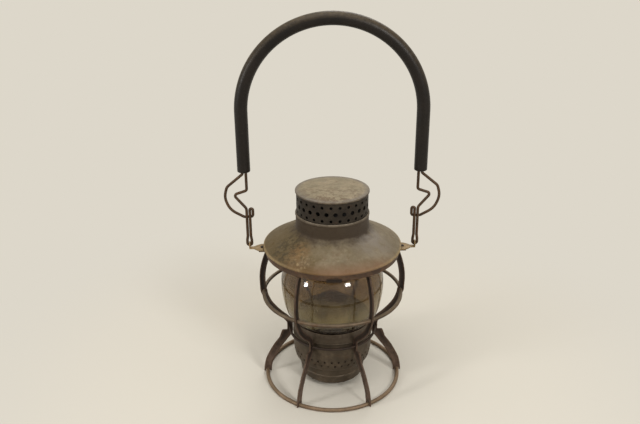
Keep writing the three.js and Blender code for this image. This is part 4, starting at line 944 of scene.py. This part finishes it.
# Cage. A strip's line is given in shares of how far it reaches and rises, from the waist to its top and to
# its foot.
CAGE_SHARES = [(0.891, 0.82), (0.993, 0.679), (1, 0.549), (0.957, 0.456), (0.819, 0.348),
               (0.622, 0.266), (0.375, 0.192), (0.132, 0.132), (0.013, 0.079), (0, 0)]
LEG_SHARES = [(0, 0), (0.185, 0.128), (0.362, 0.254), (0.609, 0.429), (0.798, 0.604), (0.918, 0.741),
              (0.985, 0.9), (1, 1)]

# The bends of a strip's square shoulder, in mm out and up from its edges at the shoulder's height: the outer
# edge where it leaves the waist, the shoulder's tip, and the inner edge
SHOULDER_BENDS = np.array([(0, 6.8), (0, 3.4), (0, 1.2), (0.3, 0.4), (1.2, 0)])
SHOULDER_TIP = np.array([(-0.8, 0), (-0.2, -0.3), (0.1, -0.9)])
SHOULDER_INSIDE = np.array([(0, 6.6), (0, 3.8), (0, 1.6), (0, 0.4), (0, -0.8), (0, -2), (0, -2.8),
                            (0.1, -3.6)])

# Where the cage's line ends above the shoulder, where the leg's outer and inner edges start below it, and
# where the knee ends
CAGE_END = WAIST_BOTTOM + 6
LEG_START_OUTER = SHOULDER_HEIGHT - 1.6
LEG_START_INNER = SHOULDER_HEIGHT - 4.2
KNEE_END = SHOULDER_HEIGHT - KNEE_DROP - 2

# How far a strip widens for the guard wire, and over what height
GUARD_PAD = 0.5
GUARD_PAD_SPREAD = 3.2


def cage_line(count):
    """Centre line of a rib round the globe, in radius and height."""
    rise = RIB_TOP - WAIST_BOTTOM
    reach = BULGE_CENTRE - WAIST_RADIUS
    top = (HOOP_INNER - CLEARANCE - CAGE_DEPTH / 2, RIB_TOP)
    line = [top] + [(WAIST_RADIUS + a * reach, WAIST_BOTTOM + b * rise) for a, b in CAGE_SHARES]
    return resampled(spline(line, 8 * count), count)


def leg_line(count):
    """Centre line of a leg, in radius and height."""
    start = WAIST_RADIUS - LEG_INSET
    reach = BASE_RADIUS - start
    drop = WAIST_BOTTOM - RIB_FOOT
    line = [(start + a * reach, WAIST_BOTTOM - b * drop) for a, b in LEG_SHARES]
    return resampled(spline(line, 8 * count), count)


# Section of a pressed strip: shares of its depth, and how far each stands off its middle plane in mm. Both
# edges carry a bead, and the web between them is pressed in.
STRIP_SECTION = np.array([(0.0, 0.45), (0.02, 0.78), (0.06, 0.9), (0.17, 0.9), (0.23, 0.72), (0.28, 0.55),
                          (0.5, 0.52), (0.72, 0.55), (0.77, 0.72), (0.83, 0.9), (0.94, 0.9), (0.98, 0.78),
                          (1.0, 0.45)])


def strip_loft(outer, inner):
    """Pressed strip f(u, v): at station u the point lies the section's share v of the way from the outer to
    the inner edge, and stands off the middle plane by the section's half thickness."""
    ring = np.vstack([STRIP_SECTION, STRIP_SECTION[::-1] * [1, -1]])
    share = ring[None, :, :1]
    plane = outer[:, None] + share * (inner - outer)[:, None]
    off = np.broadcast_to(ring[None, :, 1:], plane.shape[:2] + (1,))
    points = np.concatenate([plane[..., :1], off, plane[..., 1:]], -1).reshape(-1, 3)
    wear = np.broadcast_to(np.abs(ring[:, 0] - 0.5) > 0.32, plane.shape[:2]).reshape(-1).astype(float)
    columns = len(ring)
    faces = grid_faces(len(outer), columns, False, True)
    faces.append(list(range(columns)))
    faces.append(list(range(len(points) - columns, len(points)))[::-1])
    return points, outward(points, faces), wear


def strip_edges(line, half_depth):
    """Outer and inner edge of a strip: its centre line moved sideways by half its depth either way."""
    left = sideways(line) * half_depth
    if left[len(line) // 2, 0] < 0:
        left = -left
    return line + left, line - left


def rib_edges():
    """Outer and inner edge of a rib from the hoop round the globe, over the waist and its square shoulder
    and down the leg, in pairs of points in radius and height."""
    cage = cage_line(72)
    pad = GUARD_PAD * np.exp(-((cage[:, 1] - GUARD_HEIGHT) / GUARD_PAD_SPREAD) ** 2)
    outer, inner = strip_edges(cage, CAGE_DEPTH / 2 + pad[:, None])
    tucked = outer[:, 1] > HOOP_BOTTOM - CLEARANCE
    outer[tucked, 0] = np.minimum(outer[tucked, 0], HOOP_INNER - CLEARANCE)
    keep = cage[:, 1] > CAGE_END
    outer, inner = outer[keep], inner[keep]

    waist_outer = WAIST_RADIUS + CAGE_DEPTH / 2
    waist_inner = HOUSING_WALL + HOUSING_BEAD + CLEARANCE
    shoulder = WAIST_RADIUS + SHOULDER_REACH
    corner = np.vstack([SHOULDER_BENDS + [waist_outer, SHOULDER_HEIGHT],
                        SHOULDER_TIP + [shoulder, SHOULDER_HEIGHT]])
    inside = SHOULDER_INSIDE + [waist_inner, SHOULDER_HEIGHT]

    leg_outer, leg_inner = strip_edges(leg_line(60), LEG_DEPTH / 2)
    knee = shoulder + (KNEE_REACH - SHOULDER_REACH) / KNEE_DROP * (SHOULDER_HEIGHT - leg_outer[:, 1])
    on_knee = leg_outer[:, 1] > KNEE_END
    leg_outer[on_knee, 0] = np.maximum(leg_outer[on_knee, 0], knee[on_knee])
    leg_inner[:, 0] = np.maximum(leg_inner[:, 0], waist_inner)
    below = (leg_outer[:, 1] < LEG_START_OUTER) & (leg_inner[:, 1] < LEG_START_INNER)
    leg_outer, leg_inner = leg_outer[below], leg_inner[below]
    for line in (leg_outer, leg_inner):
        line[:, 1] = np.maximum(line[:, 1], RIB_FOOT)
    stands = leg_outer[:, 1] + leg_inner[:, 1] > 2 * RIB_FOOT + 0.1
    foot_outer, foot_inner = ((line[-1, 0], RIB_FOOT) for line in (leg_outer, leg_inner))
    return (np.vstack([outer, corner, leg_outer[stands], foot_outer]),
            np.vstack([inner, inside, leg_inner[stands], foot_inner]))


def make_ribs():
    """Six pressed strips on edge, alike: beaded edges, a square shoulder and a foot slotted over the wire."""
    points, faces, wear = strip_loft(*rib_edges())
    first = add_piece("rib_strip_1", points, faces, STRIP_STEEL, "frame", "frame_steel", ["rib_1"], wear)
    room = BASE_WIRE / 2 + CLEARANCE / 2
    slot = rod((BASE_RADIUS, -OVERRUN, BASE_CENTRE), (BASE_RADIUS, OVERRUN, BASE_CENTRE), room, 24)
    mouth = block((BASE_RADIUS - room, -OVERRUN, -OVERRUN), (BASE_RADIUS + room, OVERRUN, BASE_CENTRE))
    cut(first, slot, mouth)
    for i in range(1, RIB_COUNT):
        mesh = first.data.copy()
        mesh.transform(Matrix.Rotation(i * TAU / RIB_COUNT, 4, "Z"))
        obj = bpy.data.objects.new(f"rib_strip_{i + 1}", mesh)
        dressed(obj, STRIP_STEEL, "frame", [f"rib_{i + 1}"])


def make_rings():
    """Base, guard and waist wires, and the hoop with its two riveting tabs. The base wire is as thick as it
    stands high, so that it rests on the floor."""
    for which, radius, height, wire, wobble, material, slot in (
            ("base", BASE_RADIUS, BASE_CENTRE, BASE_CENTRE, 0.08, BASE_STEEL, "base_steel"),
            ("guard", GUARD_RADIUS, GUARD_HEIGHT, GUARD_WIRE / 2, 0.1, GUARD_STEEL, "frame_steel"),
            ("waist", WAIST_RADIUS, WAIST_HEIGHT, WAIST_WIRE / 2, 0.03, STRIP_STEEL, "frame_steel")):
        points, faces = wire_ring(radius, height, wire, wobble, radius)
        add_piece(f"{which}_wire_ring", points, faces, material, "frame", slot, [f"{which}_ring"])
    section = [(HOOP_INNER, HOOP_BOTTOM), (HOOP_OUTER, HOOP_BOTTOM), (HOOP_OUTER, HOOP_TOP),
               (HOOP_INNER, HOOP_TOP)]
    middle = (HOOP_INNER + HOOP_OUTER) / 2
    tabs = [block((min(side * middle, side * TAB_REACH), -TAB_HALF, TAB_TOP - TAB_THICKNESS),
                  (max(side * middle, side * TAB_REACH), TAB_HALF, TAB_TOP)) for side in (-1, 1)]
    hoop = joined(lathe(rounded(section, HOOP_BEND, 3), 180), *tabs)
    add_piece("top_hoop", *hoop, HOOP_STEEL, "frame", "frame_steel", ["top_ring"])


# Burner housing, globe, fount and burner
def shell_radius(height):
    """Radius of the draft shell's wall: straight down to its curve, then drawn in to the mouth."""
    drop = SHELL_CURVE - SHELL_MOUTH
    curve = spline([(SHELL_CURVE, HOUSING_WALL), (SHELL_CURVE - drop / 2, HOUSING_WALL - SHELL_TAPER / 4),
                    (SHELL_MOUTH, HOUSING_WALL - SHELL_TAPER)], 40)
    return np.interp(height, curve[::-1, 0], curve[::-1, 1])


def make_globe_plate():
    """Globe plate: a beaded band, the globe's seat and a perforated floor with the burner's hole."""
    inner = HOUSING_WALL - SHEET
    rim = SEAT_HEIGHT + SEAT_RIM
    bead = BAND_BOTTOM + BAND_BEAD_RISE
    outline = [(HOUSING_WALL, BAND_BOTTOM), (HOUSING_WALL, bead),
               (HOUSING_WALL + BAND_BEAD, bead + BAND_BEAD_HEIGHT / 2),
               (HOUSING_WALL, bead + BAND_BEAD_HEIGHT), (HOUSING_WALL, rim - SHEET / 2),
               (HOUSING_WALL - SHEET / 2, rim),
               (inner, rim - SHEET / 2), (inner, SEAT_HEIGHT), (PLATE_HOLE, SEAT_HEIGHT),
               (PLATE_HOLE, SEAT_HEIGHT - PLATE_LIP), (PLATE_HOLE + SHEET, SEAT_HEIGHT - PLATE_LIP),
               (PLATE_HOLE + SHEET, SEAT_HEIGHT - SHEET), (inner, SEAT_HEIGHT - SHEET), (inner, BAND_BOTTOM)]
    points, faces = lathe(rounded(outline, PLATE_BEND, 3), 144)
    wear = 0.7 * rubbed_at(points, rim, 0.8)
    plate = add_piece("globe_plate_spun", points, faces, HOUSING_SHEET, "frame", "housing_sheet",
                      ["globe_plate"], wear)
    place = (PLATE_HOLE + SHEET + inner - 2 * CLEARANCE - GLOBE_WALL) / 2
    bottom, top = SEAT_HEIGHT - 2 * SHORT_OVERRUN, SEAT_HEIGHT + SHORT_OVERRUN
    drills = []
    for i in range(PLATE_HOLES):
        x, y = place * math.cos(i * TAU / PLATE_HOLES), place * math.sin(i * TAU / PLATE_HOLES)
        drills.append(rod((x, y, bottom), (x, y, top), PLATE_HOLE_RADIUS))
    cut(plate, joined(*drills))


def make_draft_shell():
    """Draft shell with a beaded lip, two staggered rows of air holes, the ledge that the fount's lugs lock
    over, its three notches, and the slot that lets the raiser's shaft in."""
    inner = HOUSING_WALL - SHEET
    top = BAND_BOTTOM - CLEARANCE
    low = AIR_ROW - AIR_ROW_DROP
    half = AIR_ROW_DROP / 2
    foot, head = low - half, AIR_ROW + half
    rows = [(foot, low, low + half, AIR_RADIUS, 0.25), (low + half, AIR_ROW, head, AIR_RADIUS, 0.75)]
    wall = pierced_wall(rows, AIR_HOLES, shell_radius)
    at_head = shell_radius(head)
    bead = HOUSING_WALL + HOUSING_BEAD
    ledge = inner - 2 * SHELL_LEDGE
    upper = [(at_head, head), (HOUSING_WALL, SHELL_CURVE), (HOUSING_WALL, top - 2 * SHEET - HOUSING_BEAD),
             (bead, top - 2 * SHEET), (bead, top - SHEET / 2), (HOUSING_WALL, top), (ledge, top),
             (ledge, top - SHEET), (inner, top - SHEET), (inner, SHELL_CURVE), (at_head - SHEET, head)]
    upper = lathe(rounded(upper, [0, 2, 0.4, 0.4, 0.4, 0.4, 0.3, 0.3, 0.6, 2, 0], 3), 144)
    mouth = HOUSING_WALL - SHELL_TAPER
    heights = np.linspace(foot, SHELL_MOUTH + 1.4, 4)
    outside = np.stack([shell_radius(heights), heights], -1)
    lower = list(outside) + [(mouth, SHELL_MOUTH), (mouth - SHELL_LEDGE, SHELL_MOUTH),
                             (mouth - SHELL_LEDGE, SHELL_MOUTH + SHEET), (mouth - SHEET, SHELL_MOUTH + SHEET)]
    lower += list(outside[::-1] - [SHEET, 0])
    lower = lathe(rounded(lower, [0, 0, 0, 0, 0.9, 0.3, 0.3, 0.3, 0, 0, 0, 0], 4), 144)
    points, faces = joined(wall, upper, lower)
    wear = rubbed_at(points, top - 0.6, 0.9) + 0.7 * rubbed_at(points, SHELL_MOUTH, 0.8)
    shell = add_piece("draft_shell_pierced", points, faces, HOUSING_SHEET, "frame", "housing_sheet",
                      ["draft_shell"], np.clip(wear, 0, 1))
    shaft = math.acos(SHAFT_OFFSET / HOUSING_WALL)
    angle = SHAFT_SLOT / HOUSING_WALL
    near, far = HOUSING_WALL - OVERRUN, HOUSING_WALL + OVERRUN
    across = wedge(near, far, SHAFT_HEIGHT - SHAFT_SLOT, SHAFT_HEIGHT + SHAFT_SLOT,
                   shaft - angle, shaft + TWIST + angle)
    past_ledge = mouth - SHELL_LEDGE - SHORT_OVERRUN
    # The way in ends a hair below the slot's top, so that no faces of the two cutters coincide
    down = wedge(past_ledge, far, SHELL_MOUTH - 2 * SHORT_OVERRUN, SHAFT_HEIGHT + SHAFT_SLOT - 0.05,
                 shaft + TWIST - angle, shaft + TWIST + angle)
    notches = []
    for i in range(LUGS):
        middle = i * TAU / LUGS - math.pi / 2 + TWIST
        reach = LUG_HALF + LUG_ROOM
        notches.append(wedge(past_ledge, mouth - SHEET, SHELL_MOUTH - SHORT_OVERRUN, SHELL_MOUTH + LUG_RISE,
                             middle - reach, middle + reach))
    cut(shell, across, down, joined(*notches))


def make_globe():
    """Blown clear globe: straight foot, full belly, shoulders drawn in to a ground top. The shares are of its
    height and of how far its bulge stands out from the foot, and from the top."""
    foot = HOUSING_WALL - SHEET - 2 * CLEARANCE
    start = (SEAT_RIM + 2 * CLEARANCE) / GLOBE_HEIGHT
    line = []
    for radius, shares in ((foot, [(start, 0), (0.11, 0.46), (0.22, 0.72), (0.38, 0.91), (0.54, 1)]),
                           (GLOBE_TOP_RADIUS, [(0.7, 0.93), (0.84, 0.64), (0.94, 0.26), (1, 0)])):
        for up, out in shares:
            line.append((radius + out * (GLOBE_BULGE - radius), GLOBE_BOTTOM + up * GLOBE_HEIGHT))
    outer = np.vstack([[(foot, GLOBE_BOTTOM), (foot, GLOBE_BOTTOM + SEAT_RIM / 2)], spline(line, 64)])
    profile = np.vstack([outer, outer[::-1] - [GLOBE_WALL, 0]])
    radii = np.zeros(len(profile))
    radii[[0, len(outer) - 1, len(outer), -1]] = GLOBE_LIP
    globe = lathe(rounded(profile, list(radii), 4), 160)
    add_piece("globe_clear_glass", *globe, GLASS, "frame", "glass", ["globe"], smooth_angle=50)


def make_fount():
    """Drawn oil pot with a dished bottom, a rolled seam, a sloping shoulder, a neck and three lock lugs."""
    corner = FOUNT_RADIUS - FOUNT_DISH - FOUNT_CORNER
    dish = corner - FOUNT_CORNER
    hollow = FOUNT_BOTTOM + FOUNT_DISH
    centre = (corner, FOUNT_BOTTOM + FOUNT_CORNER)
    seam = FOUNT_RADIUS - SEAM_STEP
    groove = FOUNT_RADIUS - SEAM_GROOVE
    neck_foot = NECK_TOP - 2 * SHEET
    outline = [(dish - FOUNT_DISH, hollow), (dish, FOUNT_BOTTOM), (corner, FOUNT_BOTTOM)]
    outline += list(arc(centre, FOUNT_CORNER, -math.pi / 2, 0, 8)[1:])
    outline += [(groove - 0.1, SEAM_HEIGHT - 2 * SEAM_HALF), (seam, SEAM_HEIGHT - SEAM_HALF),
                (seam, SEAM_HEIGHT + SEAM_HALF), (groove, SEAM_HEIGHT + 2 * SEAM_HALF),
                (FOUNT_RADIUS, SHELL_MOUTH), (FOUNT_RADIUS, FOUNT_SHOULDER),
                (FOUNT_RADIUS - 2 * SHEET, FOUNT_SHOULDER + 2 * SHEET), (NECK_RADIUS, neck_foot),
                (NECK_RADIUS, NECK_TOP), (NECK_RADIUS - SHEET, NECK_TOP),
                (NECK_RADIUS - SHEET, neck_foot - SHEET),
                (FOUNT_RADIUS - 2.4 * SHEET, FOUNT_SHOULDER + SHEET), (FOUNT_RADIUS - SHEET, FOUNT_SHOULDER),
                (FOUNT_RADIUS - SHEET, SHELL_MOUTH)]
    outline += list(arc(centre, FOUNT_CORNER - SHEET, 0, -math.pi / 2, 8))
    outline += [(dish, FOUNT_BOTTOM + SHEET), (dish - FOUNT_DISH, hollow + SHEET)]
    profile = np.vstack([(0, hollow), rounded(outline, FOUNT_BEND, 3, closed=False), (0, hollow + SHEET)])
    pot = lathe(profile, 144)
    lugs = []
    for i in range(LUGS):
        middle = i * TAU / LUGS - math.pi / 2
        foot = SHELL_MOUTH + LUG_RISE
        lugs.append(wedge(FOUNT_RADIUS - SHEET / 2, HOUSING_WALL - SHELL_TAPER - 2 * SHEET, foot,
                          foot + LUG_THICKNESS, middle - LUG_HALF, middle + LUG_HALF, 4))
    points, faces = joined(pot, *lugs)
    wear = 0.3 * rubbed_at(points, SEAM_HEIGHT, 1) + 0.4 * rubbed_at(points, hollow, 1.5)
    add_piece("fount_drawn_pot", points, faces, HOUSING_SHEET, "fount", "housing_sheet", ["fount"],
              np.clip(wear, 0, 1))


def make_burner():
    """Brass burner: cone with its flame slot, cup, collar, wick tube, raiser wheels and knob."""
    shares = [(1, 0), (0.95, 0.2), (0.92, 0.5), (0.9, 0.84), (0.8, 0.95), (0.5, 0.99), (0, 1)]
    rise = CONE_TOP - CONE_FOOT
    outer = spline([(a * CONE_RADIUS, CONE_FOOT + b * rise) for a, b in shares], 48)
    inner = spline([(a * (CONE_RADIUS - SHEET), CONE_FOOT + b * (rise - SHEET)) for a, b in shares], 48)
    dome = lathe(np.vstack([outer[::-1], inner]), 96)
    cone = add_piece("burner_cone_drawn", *dome, CONE_BRASS, "fount", "brass", ["burner_cone"])
    across, along = FLAME_SLOT[0] / 2, FLAME_SLOT[1] / 2
    cut(cone, block((-across, -along, CONE_TOP - OVERRUN), (across, along, CONE_TOP + OVERRUN)))
    for node, body, width in (("burner_body", "fount", 0.3), ("burner_collar", "fount", 0.3),
                              ("wick_tube", "fount", 0.12), ("wick_shaft", "raiser", 0.3),
                              ("wick_wheel_1", "raiser", 0.15), ("wick_wheel_2", "raiser", 0.15),
                              ("wick_knob", "raiser", 0.3)):
        softened(f"{node}_turned", node, BRASS, body, width)
    softened("wick_tape", "wick", COTTON, "wick", 0.5, 3)


# Bail
def arch_arc(radius, start, end, steps):
    """Arc of the bail's bow in its own plane, angles counted from +X up."""
    angle = np.linspace(start, end, steps + 1)
    return np.stack([radius * np.cos(angle), np.zeros(steps + 1), ARCH_HEIGHT + radius * np.sin(angle)], -1)


# Corners of the bow: out in shares of its reach, back of the gap between two wires, up of the span from the
# link's top to the hose's end, and their bend radii in shares of the reach
BOW_SHARES = ((0.14, 0.95, -0.262, 0.15), (0.78, 0.05, -0.035, 0.85), (1.02, 0, 0.31, 0.72),
              (0.88, 0, 0.585, 0.3))


def bail_corners(side):
    """Corners of the wire on one side, each with its bend radius: from the inner lane through the kink and
    the link, round the ear's eye, over the hook, behind the link, out round the bow and up to the outer
    lane."""
    inner_lane = ARCH_RADIUS - WIRE_GAP / 2
    outer_lane = ARCH_RADIUS + WIRE_GAP / 2
    outer_strand = PIVOT_OFFSET + WIRE_GAP / 2
    inner_strand = PIVOT_OFFSET - WIRE_GAP / 2
    loop_outer = PIVOT_OFFSET + LOOP_SPREAD / 2
    loop_inner = PIVOT_OFFSET - LOOP_SPREAD / 2
    hook = inner_strand - WIRE_GAP
    loop_top = PIVOT_HEIGHT + LOOP_HEIGHT
    meet = loop_top + LOOP_SPREAD
    span = GRIP_END - LINK_TOP
    bow = BOW_REACH - WIRE_GAP
    loop_bend = LOOP_SPREAD / 2 - CLEARANCE / 6
    hook_bend = WIRE_GAP / 2 - CLEARANCE / 8
    corners = [
        (inner_lane, 0, ARCH_HEIGHT, 0),
        (inner_lane - 0.02 * KINK_REACH, 0, LINK_TOP + 0.49 * span, WIRE),
        (inner_lane + KINK_REACH, 0, LINK_TOP + 0.375 * span, 0.9 * WIRE),
        (outer_strand, 0, LINK_TOP, 2 * WIRE),
        (outer_strand, 0, meet, 2 * WIRE),
        (loop_outer, 0, loop_top, 2 * WIRE),
        (loop_outer, 0, PIVOT_HEIGHT, loop_bend),
        (loop_inner, 0, PIVOT_HEIGHT, loop_bend),
        (loop_inner, 0, loop_top, 2 * WIRE),
        (inner_strand, 0, meet, 2 * WIRE),
        (inner_strand, 0, LINK_TOP - CLEARANCE, hook_bend),
        (hook, 0, LINK_TOP - CLEARANCE, hook_bend),
        (hook, 0, LINK_TOP - 0.18 * span, WIRE / 2),
        (hook + 0.4 * WIRE_GAP, WIRE_GAP, LINK_TOP - 0.255 * span, WIRE / 2),
    ]
    for out, back, up, bend in BOW_SHARES:
        corners.append((outer_strand + out * bow, back * WIRE_GAP, LINK_TOP + up * span, bend * BOW_REACH))
    corners += [(outer_lane, 0, GRIP_END - WIRE, WIRE), (outer_lane, 0, ARCH_HEIGHT, 0)]
    return [(np.array([side * x, y, z]), radius) for x, y, z, radius in corners]


def bent_wire(corners, step=0.12, stretch=2.5):
    """Straight stretches joined by round bends of each corner's own radius."""
    places = [corners[0][0][None]]
    for (before, _), (at, radius), (after, _) in zip(corners, corners[1:], corners[2:]):
        back = (before - at) / np.linalg.norm(before - at)
        ahead = (after - at) / np.linalg.norm(after - at)
        turn = math.pi - math.acos(max(-1.0, min(1.0, float(np.dot(back, ahead)))))
        start = at + back * radius * math.tan(turn / 2)
        centre = at + (back + ahead) / np.linalg.norm(back + ahead) * radius / math.cos(turn / 2)
        angle = np.linspace(0, turn, max(2, int(turn / step)) + 1)[:, None]
        last = places[-1][-1]
        count = max(1, int(np.linalg.norm(start - last) / stretch))
        places.append(np.linspace(last, start, count + 1)[1:-1])
        places.append(centre + (start - centre) * np.cos(angle) - back * radius * np.sin(angle))
    return np.vstack(places + [corners[-1][0][None]])


def hose_shape(sides=40):
    """Hose f(u, v) = route(s(u)) + r(u) (n(s) cos v + y sin v): the route runs up one leg, round the arch and
    down the other, and r(u) goes round both rims, along the outside and back along the bore."""
    leg = ARCH_HEIGHT - GRIP_END
    length = 2 * leg + math.pi * ARCH_RADIUS
    bend = np.linspace(0, math.pi / 2, 5)
    rim = GRIP_RIM * (1 - np.cos(bend))
    swell = GRIP_RIM * np.sin(bend)
    middle = np.linspace(GRIP_RIM, length - GRIP_RIM, 170)[1:-1]
    there = np.concatenate([rim, middle, length - rim[::-1]])
    outside = np.concatenate([GRIP_RADIUS - GRIP_RIM + swell, np.full(len(middle), GRIP_RADIUS),
                              GRIP_RADIUS - GRIP_RIM + swell[::-1]])
    inside = GRIP_BORE + GRIP_RADIUS - outside
    s = np.concatenate([there, there[::-1]])
    radius = np.concatenate([outside, inside[::-1]])[:, None]
    turn = np.clip(math.pi - (s - leg) / ARCH_RADIUS, 0, math.pi)
    drop = np.maximum(leg - s, 0) + np.maximum(s - length + leg, 0)
    route = np.stack([ARCH_RADIUS * np.cos(turn), 0 * s, ARCH_HEIGHT + ARCH_RADIUS * np.sin(turn) - drop], -1)
    out = np.stack([np.cos(turn), 0 * s, np.sin(turn)], -1)
    v = (np.arange(sides) * TAU / sides)[None, :, None]
    points = route[:, None] + radius[:, None] * (out[:, None] * np.cos(v) + np.array([0, 1, 0]) * np.sin(v))
    points = points.reshape(-1, 3)
    return points, outward(points, grid_faces(len(s), sides, True, True))


def make_bail():
    """One bent wire and the hose that covers its bow."""
    inner = ARCH_RADIUS - WIRE_GAP / 2
    outer = ARCH_RADIUS + WIRE_GAP / 2
    gap = WIRE_END_GAP / 2 / inner
    path = np.vstack([
        arch_arc(inner, math.pi / 2 + gap, math.pi, 40)[:-1], bent_wire(bail_corners(-1))[:-1],
        arch_arc(outer, math.pi, 0, 80)[:-1], bent_wire(bail_corners(1)[::-1])[:-1],
        arch_arc(inner, 0, math.pi / 2 - gap, 40),
    ])
    distinct = np.concatenate([[True], np.linalg.norm(np.diff(path, axis=0), axis=1) > 1e-3])
    wire = bail_tube(path[distinct], WIRE / 2)
    add_piece("bail_bent_wire", *wire, BAIL_STEEL, "bail", "bail_steel", ["bail_wire"])
    add_piece("bail_rubber_hose", *hose_shape(), RUBBER, "bail", "rubber", ["bail_grip"])


def make_fittings():
    """Ears, rivets, hinge and catch: small pressed parts with broken edges."""
    for side in ("right", "left"):
        softened(f"ear_{side}", f"bail_ear_{side}", EAR_TIN, "frame", 0.3)
        softened(f"rivet_{side}", f"ear_rivet_{side}", STRIP_STEEL, "frame", 0.2)
    softened("catch_spring", "hood_catch", STRIP_STEEL, "frame", 0.25)
    softened("hinge_lug_pressed", "hinge_lug", STRIP_STEEL, "frame", 0.25)
    softened("hinge_pin_turned", "hinge_pin", BAIL_STEEL, "frame", 0.3)
    softened("hinge_leaf_pressed", "hinge_leaf", BRIM_TIN, "hood", 0.25)


# Floor and lamps, in metres and watts
FLOOR_HALF = 14.0
BOARD_SHOWS = 0.16
BACKDROP_STARTS = 0.5
PALE = "#ddd7ca"
SURROUND_LEVEL = 0.42
LAMPS = (("window_right", (0.92, -1.26, 1.02), 0.34, 11.5),
         ("window_left", (-1.41, -0.69, 0.64), 0.22, 7),
         ("ceiling", (-0.2, -0.4, 2.2), 2.0, 22),
         ("back", (0.4, 1.5, 1.5), 1.0, 10))
AIM = np.array([0.0, 0.0, 0.15])


def seen(tree):
    """Share that is whole for what the camera sees, straight, in metal or through glass."""
    straight = add(tree, "ShaderNodeLightPath", out="Is Camera Ray")
    for kind in ("Is Glossy Ray", "Is Transmission Ray"):
        straight = add(tree, "ShaderNodeMath", {0: straight, 1: add(tree, "ShaderNodeLightPath", out=kind)},
                       operation="ADD", use_clamp=True)
    return straight


def painted_board():
    """Matt painted board: an even pale grey-cream. It keeps the lantern's shadow, and further off it is seen
    as a backdrop of its own plain colour."""
    material, tree, shader, place = new_material("matt_painted_board")
    shader.inputs["Base Color"].default_value = linear(PALE)
    shader.inputs["Roughness"].default_value = 0.9
    reach = add(tree, "ShaderNodeVectorMath", {0: place}, "Value", operation="LENGTH")
    limits = {"Value": reach, "From Min": BOARD_SHOWS, "From Max": BACKDROP_STARTS}
    far = add(tree, "ShaderNodeMapRange", limits, clamp=True, interpolation_type="SMOOTHSTEP")
    plain = add(tree, "ShaderNodeEmission", {"Color": linear(PALE), "Strength": 1.0})
    share = add(tree, "ShaderNodeMath", {0: far, 1: seen(tree)}, operation="MULTIPLY")
    mixed = add(tree, "ShaderNodeMixShader", {0: share, 1: shader.outputs[0], 2: plain})
    tree.links.new(mixed, tree.nodes["Material Output"].inputs["Surface"])
    return material


def make_stage():
    """Plain pale floor, an even pale surround and four soft lamps."""
    floor = bpy.data.meshes.new("floor")
    corners = [(x * FLOOR_HALF, y * FLOOR_HALF, 0) for x, y in ((-1, -1), (1, -1), (1, 1), (-1, 1))]
    floor.from_pydata(corners, [], [(0, 1, 2, 3)])
    floor.materials.append(painted_board())
    obj = bpy.data.objects.new("floor", floor)
    bpy.context.scene.collection.objects.link(obj)
    world = bpy.data.worlds.new("surround")
    bpy.context.scene.world = world
    world.use_nodes = True
    tree = world.node_tree
    background = tree.nodes["Background"]
    background.inputs["Color"].default_value = linear(PALE)
    level = add(tree, "ShaderNodeMapRange", {"Value": seen(tree), "To Min": SURROUND_LEVEL})
    tree.links.new(level, background.inputs["Strength"])
    for name, place, size, power in LAMPS:
        lamp = bpy.data.lights.new(name, "AREA")
        lamp.size = size
        lamp.energy = power
        light = bpy.data.objects.new(name, lamp)
        light.location = place
        direction = AIM - np.array(place)
        flat = math.hypot(direction[0], direction[1])
        yaw = math.atan2(direction[0], -direction[1]) + math.pi
        light.rotation_euler = (math.atan2(flat, -direction[2]), 0, yaw)
        bpy.context.scene.collection.objects.link(light)


make_hood()
make_crown()
make_globe_collar()
make_ribs()
make_rings()
make_globe_plate()
make_draft_shell()
make_globe()
make_fount()
make_burner()
make_bail()
make_fittings()
make_stage()
bpy.context.scene.view_settings.view_transform = "Standard"
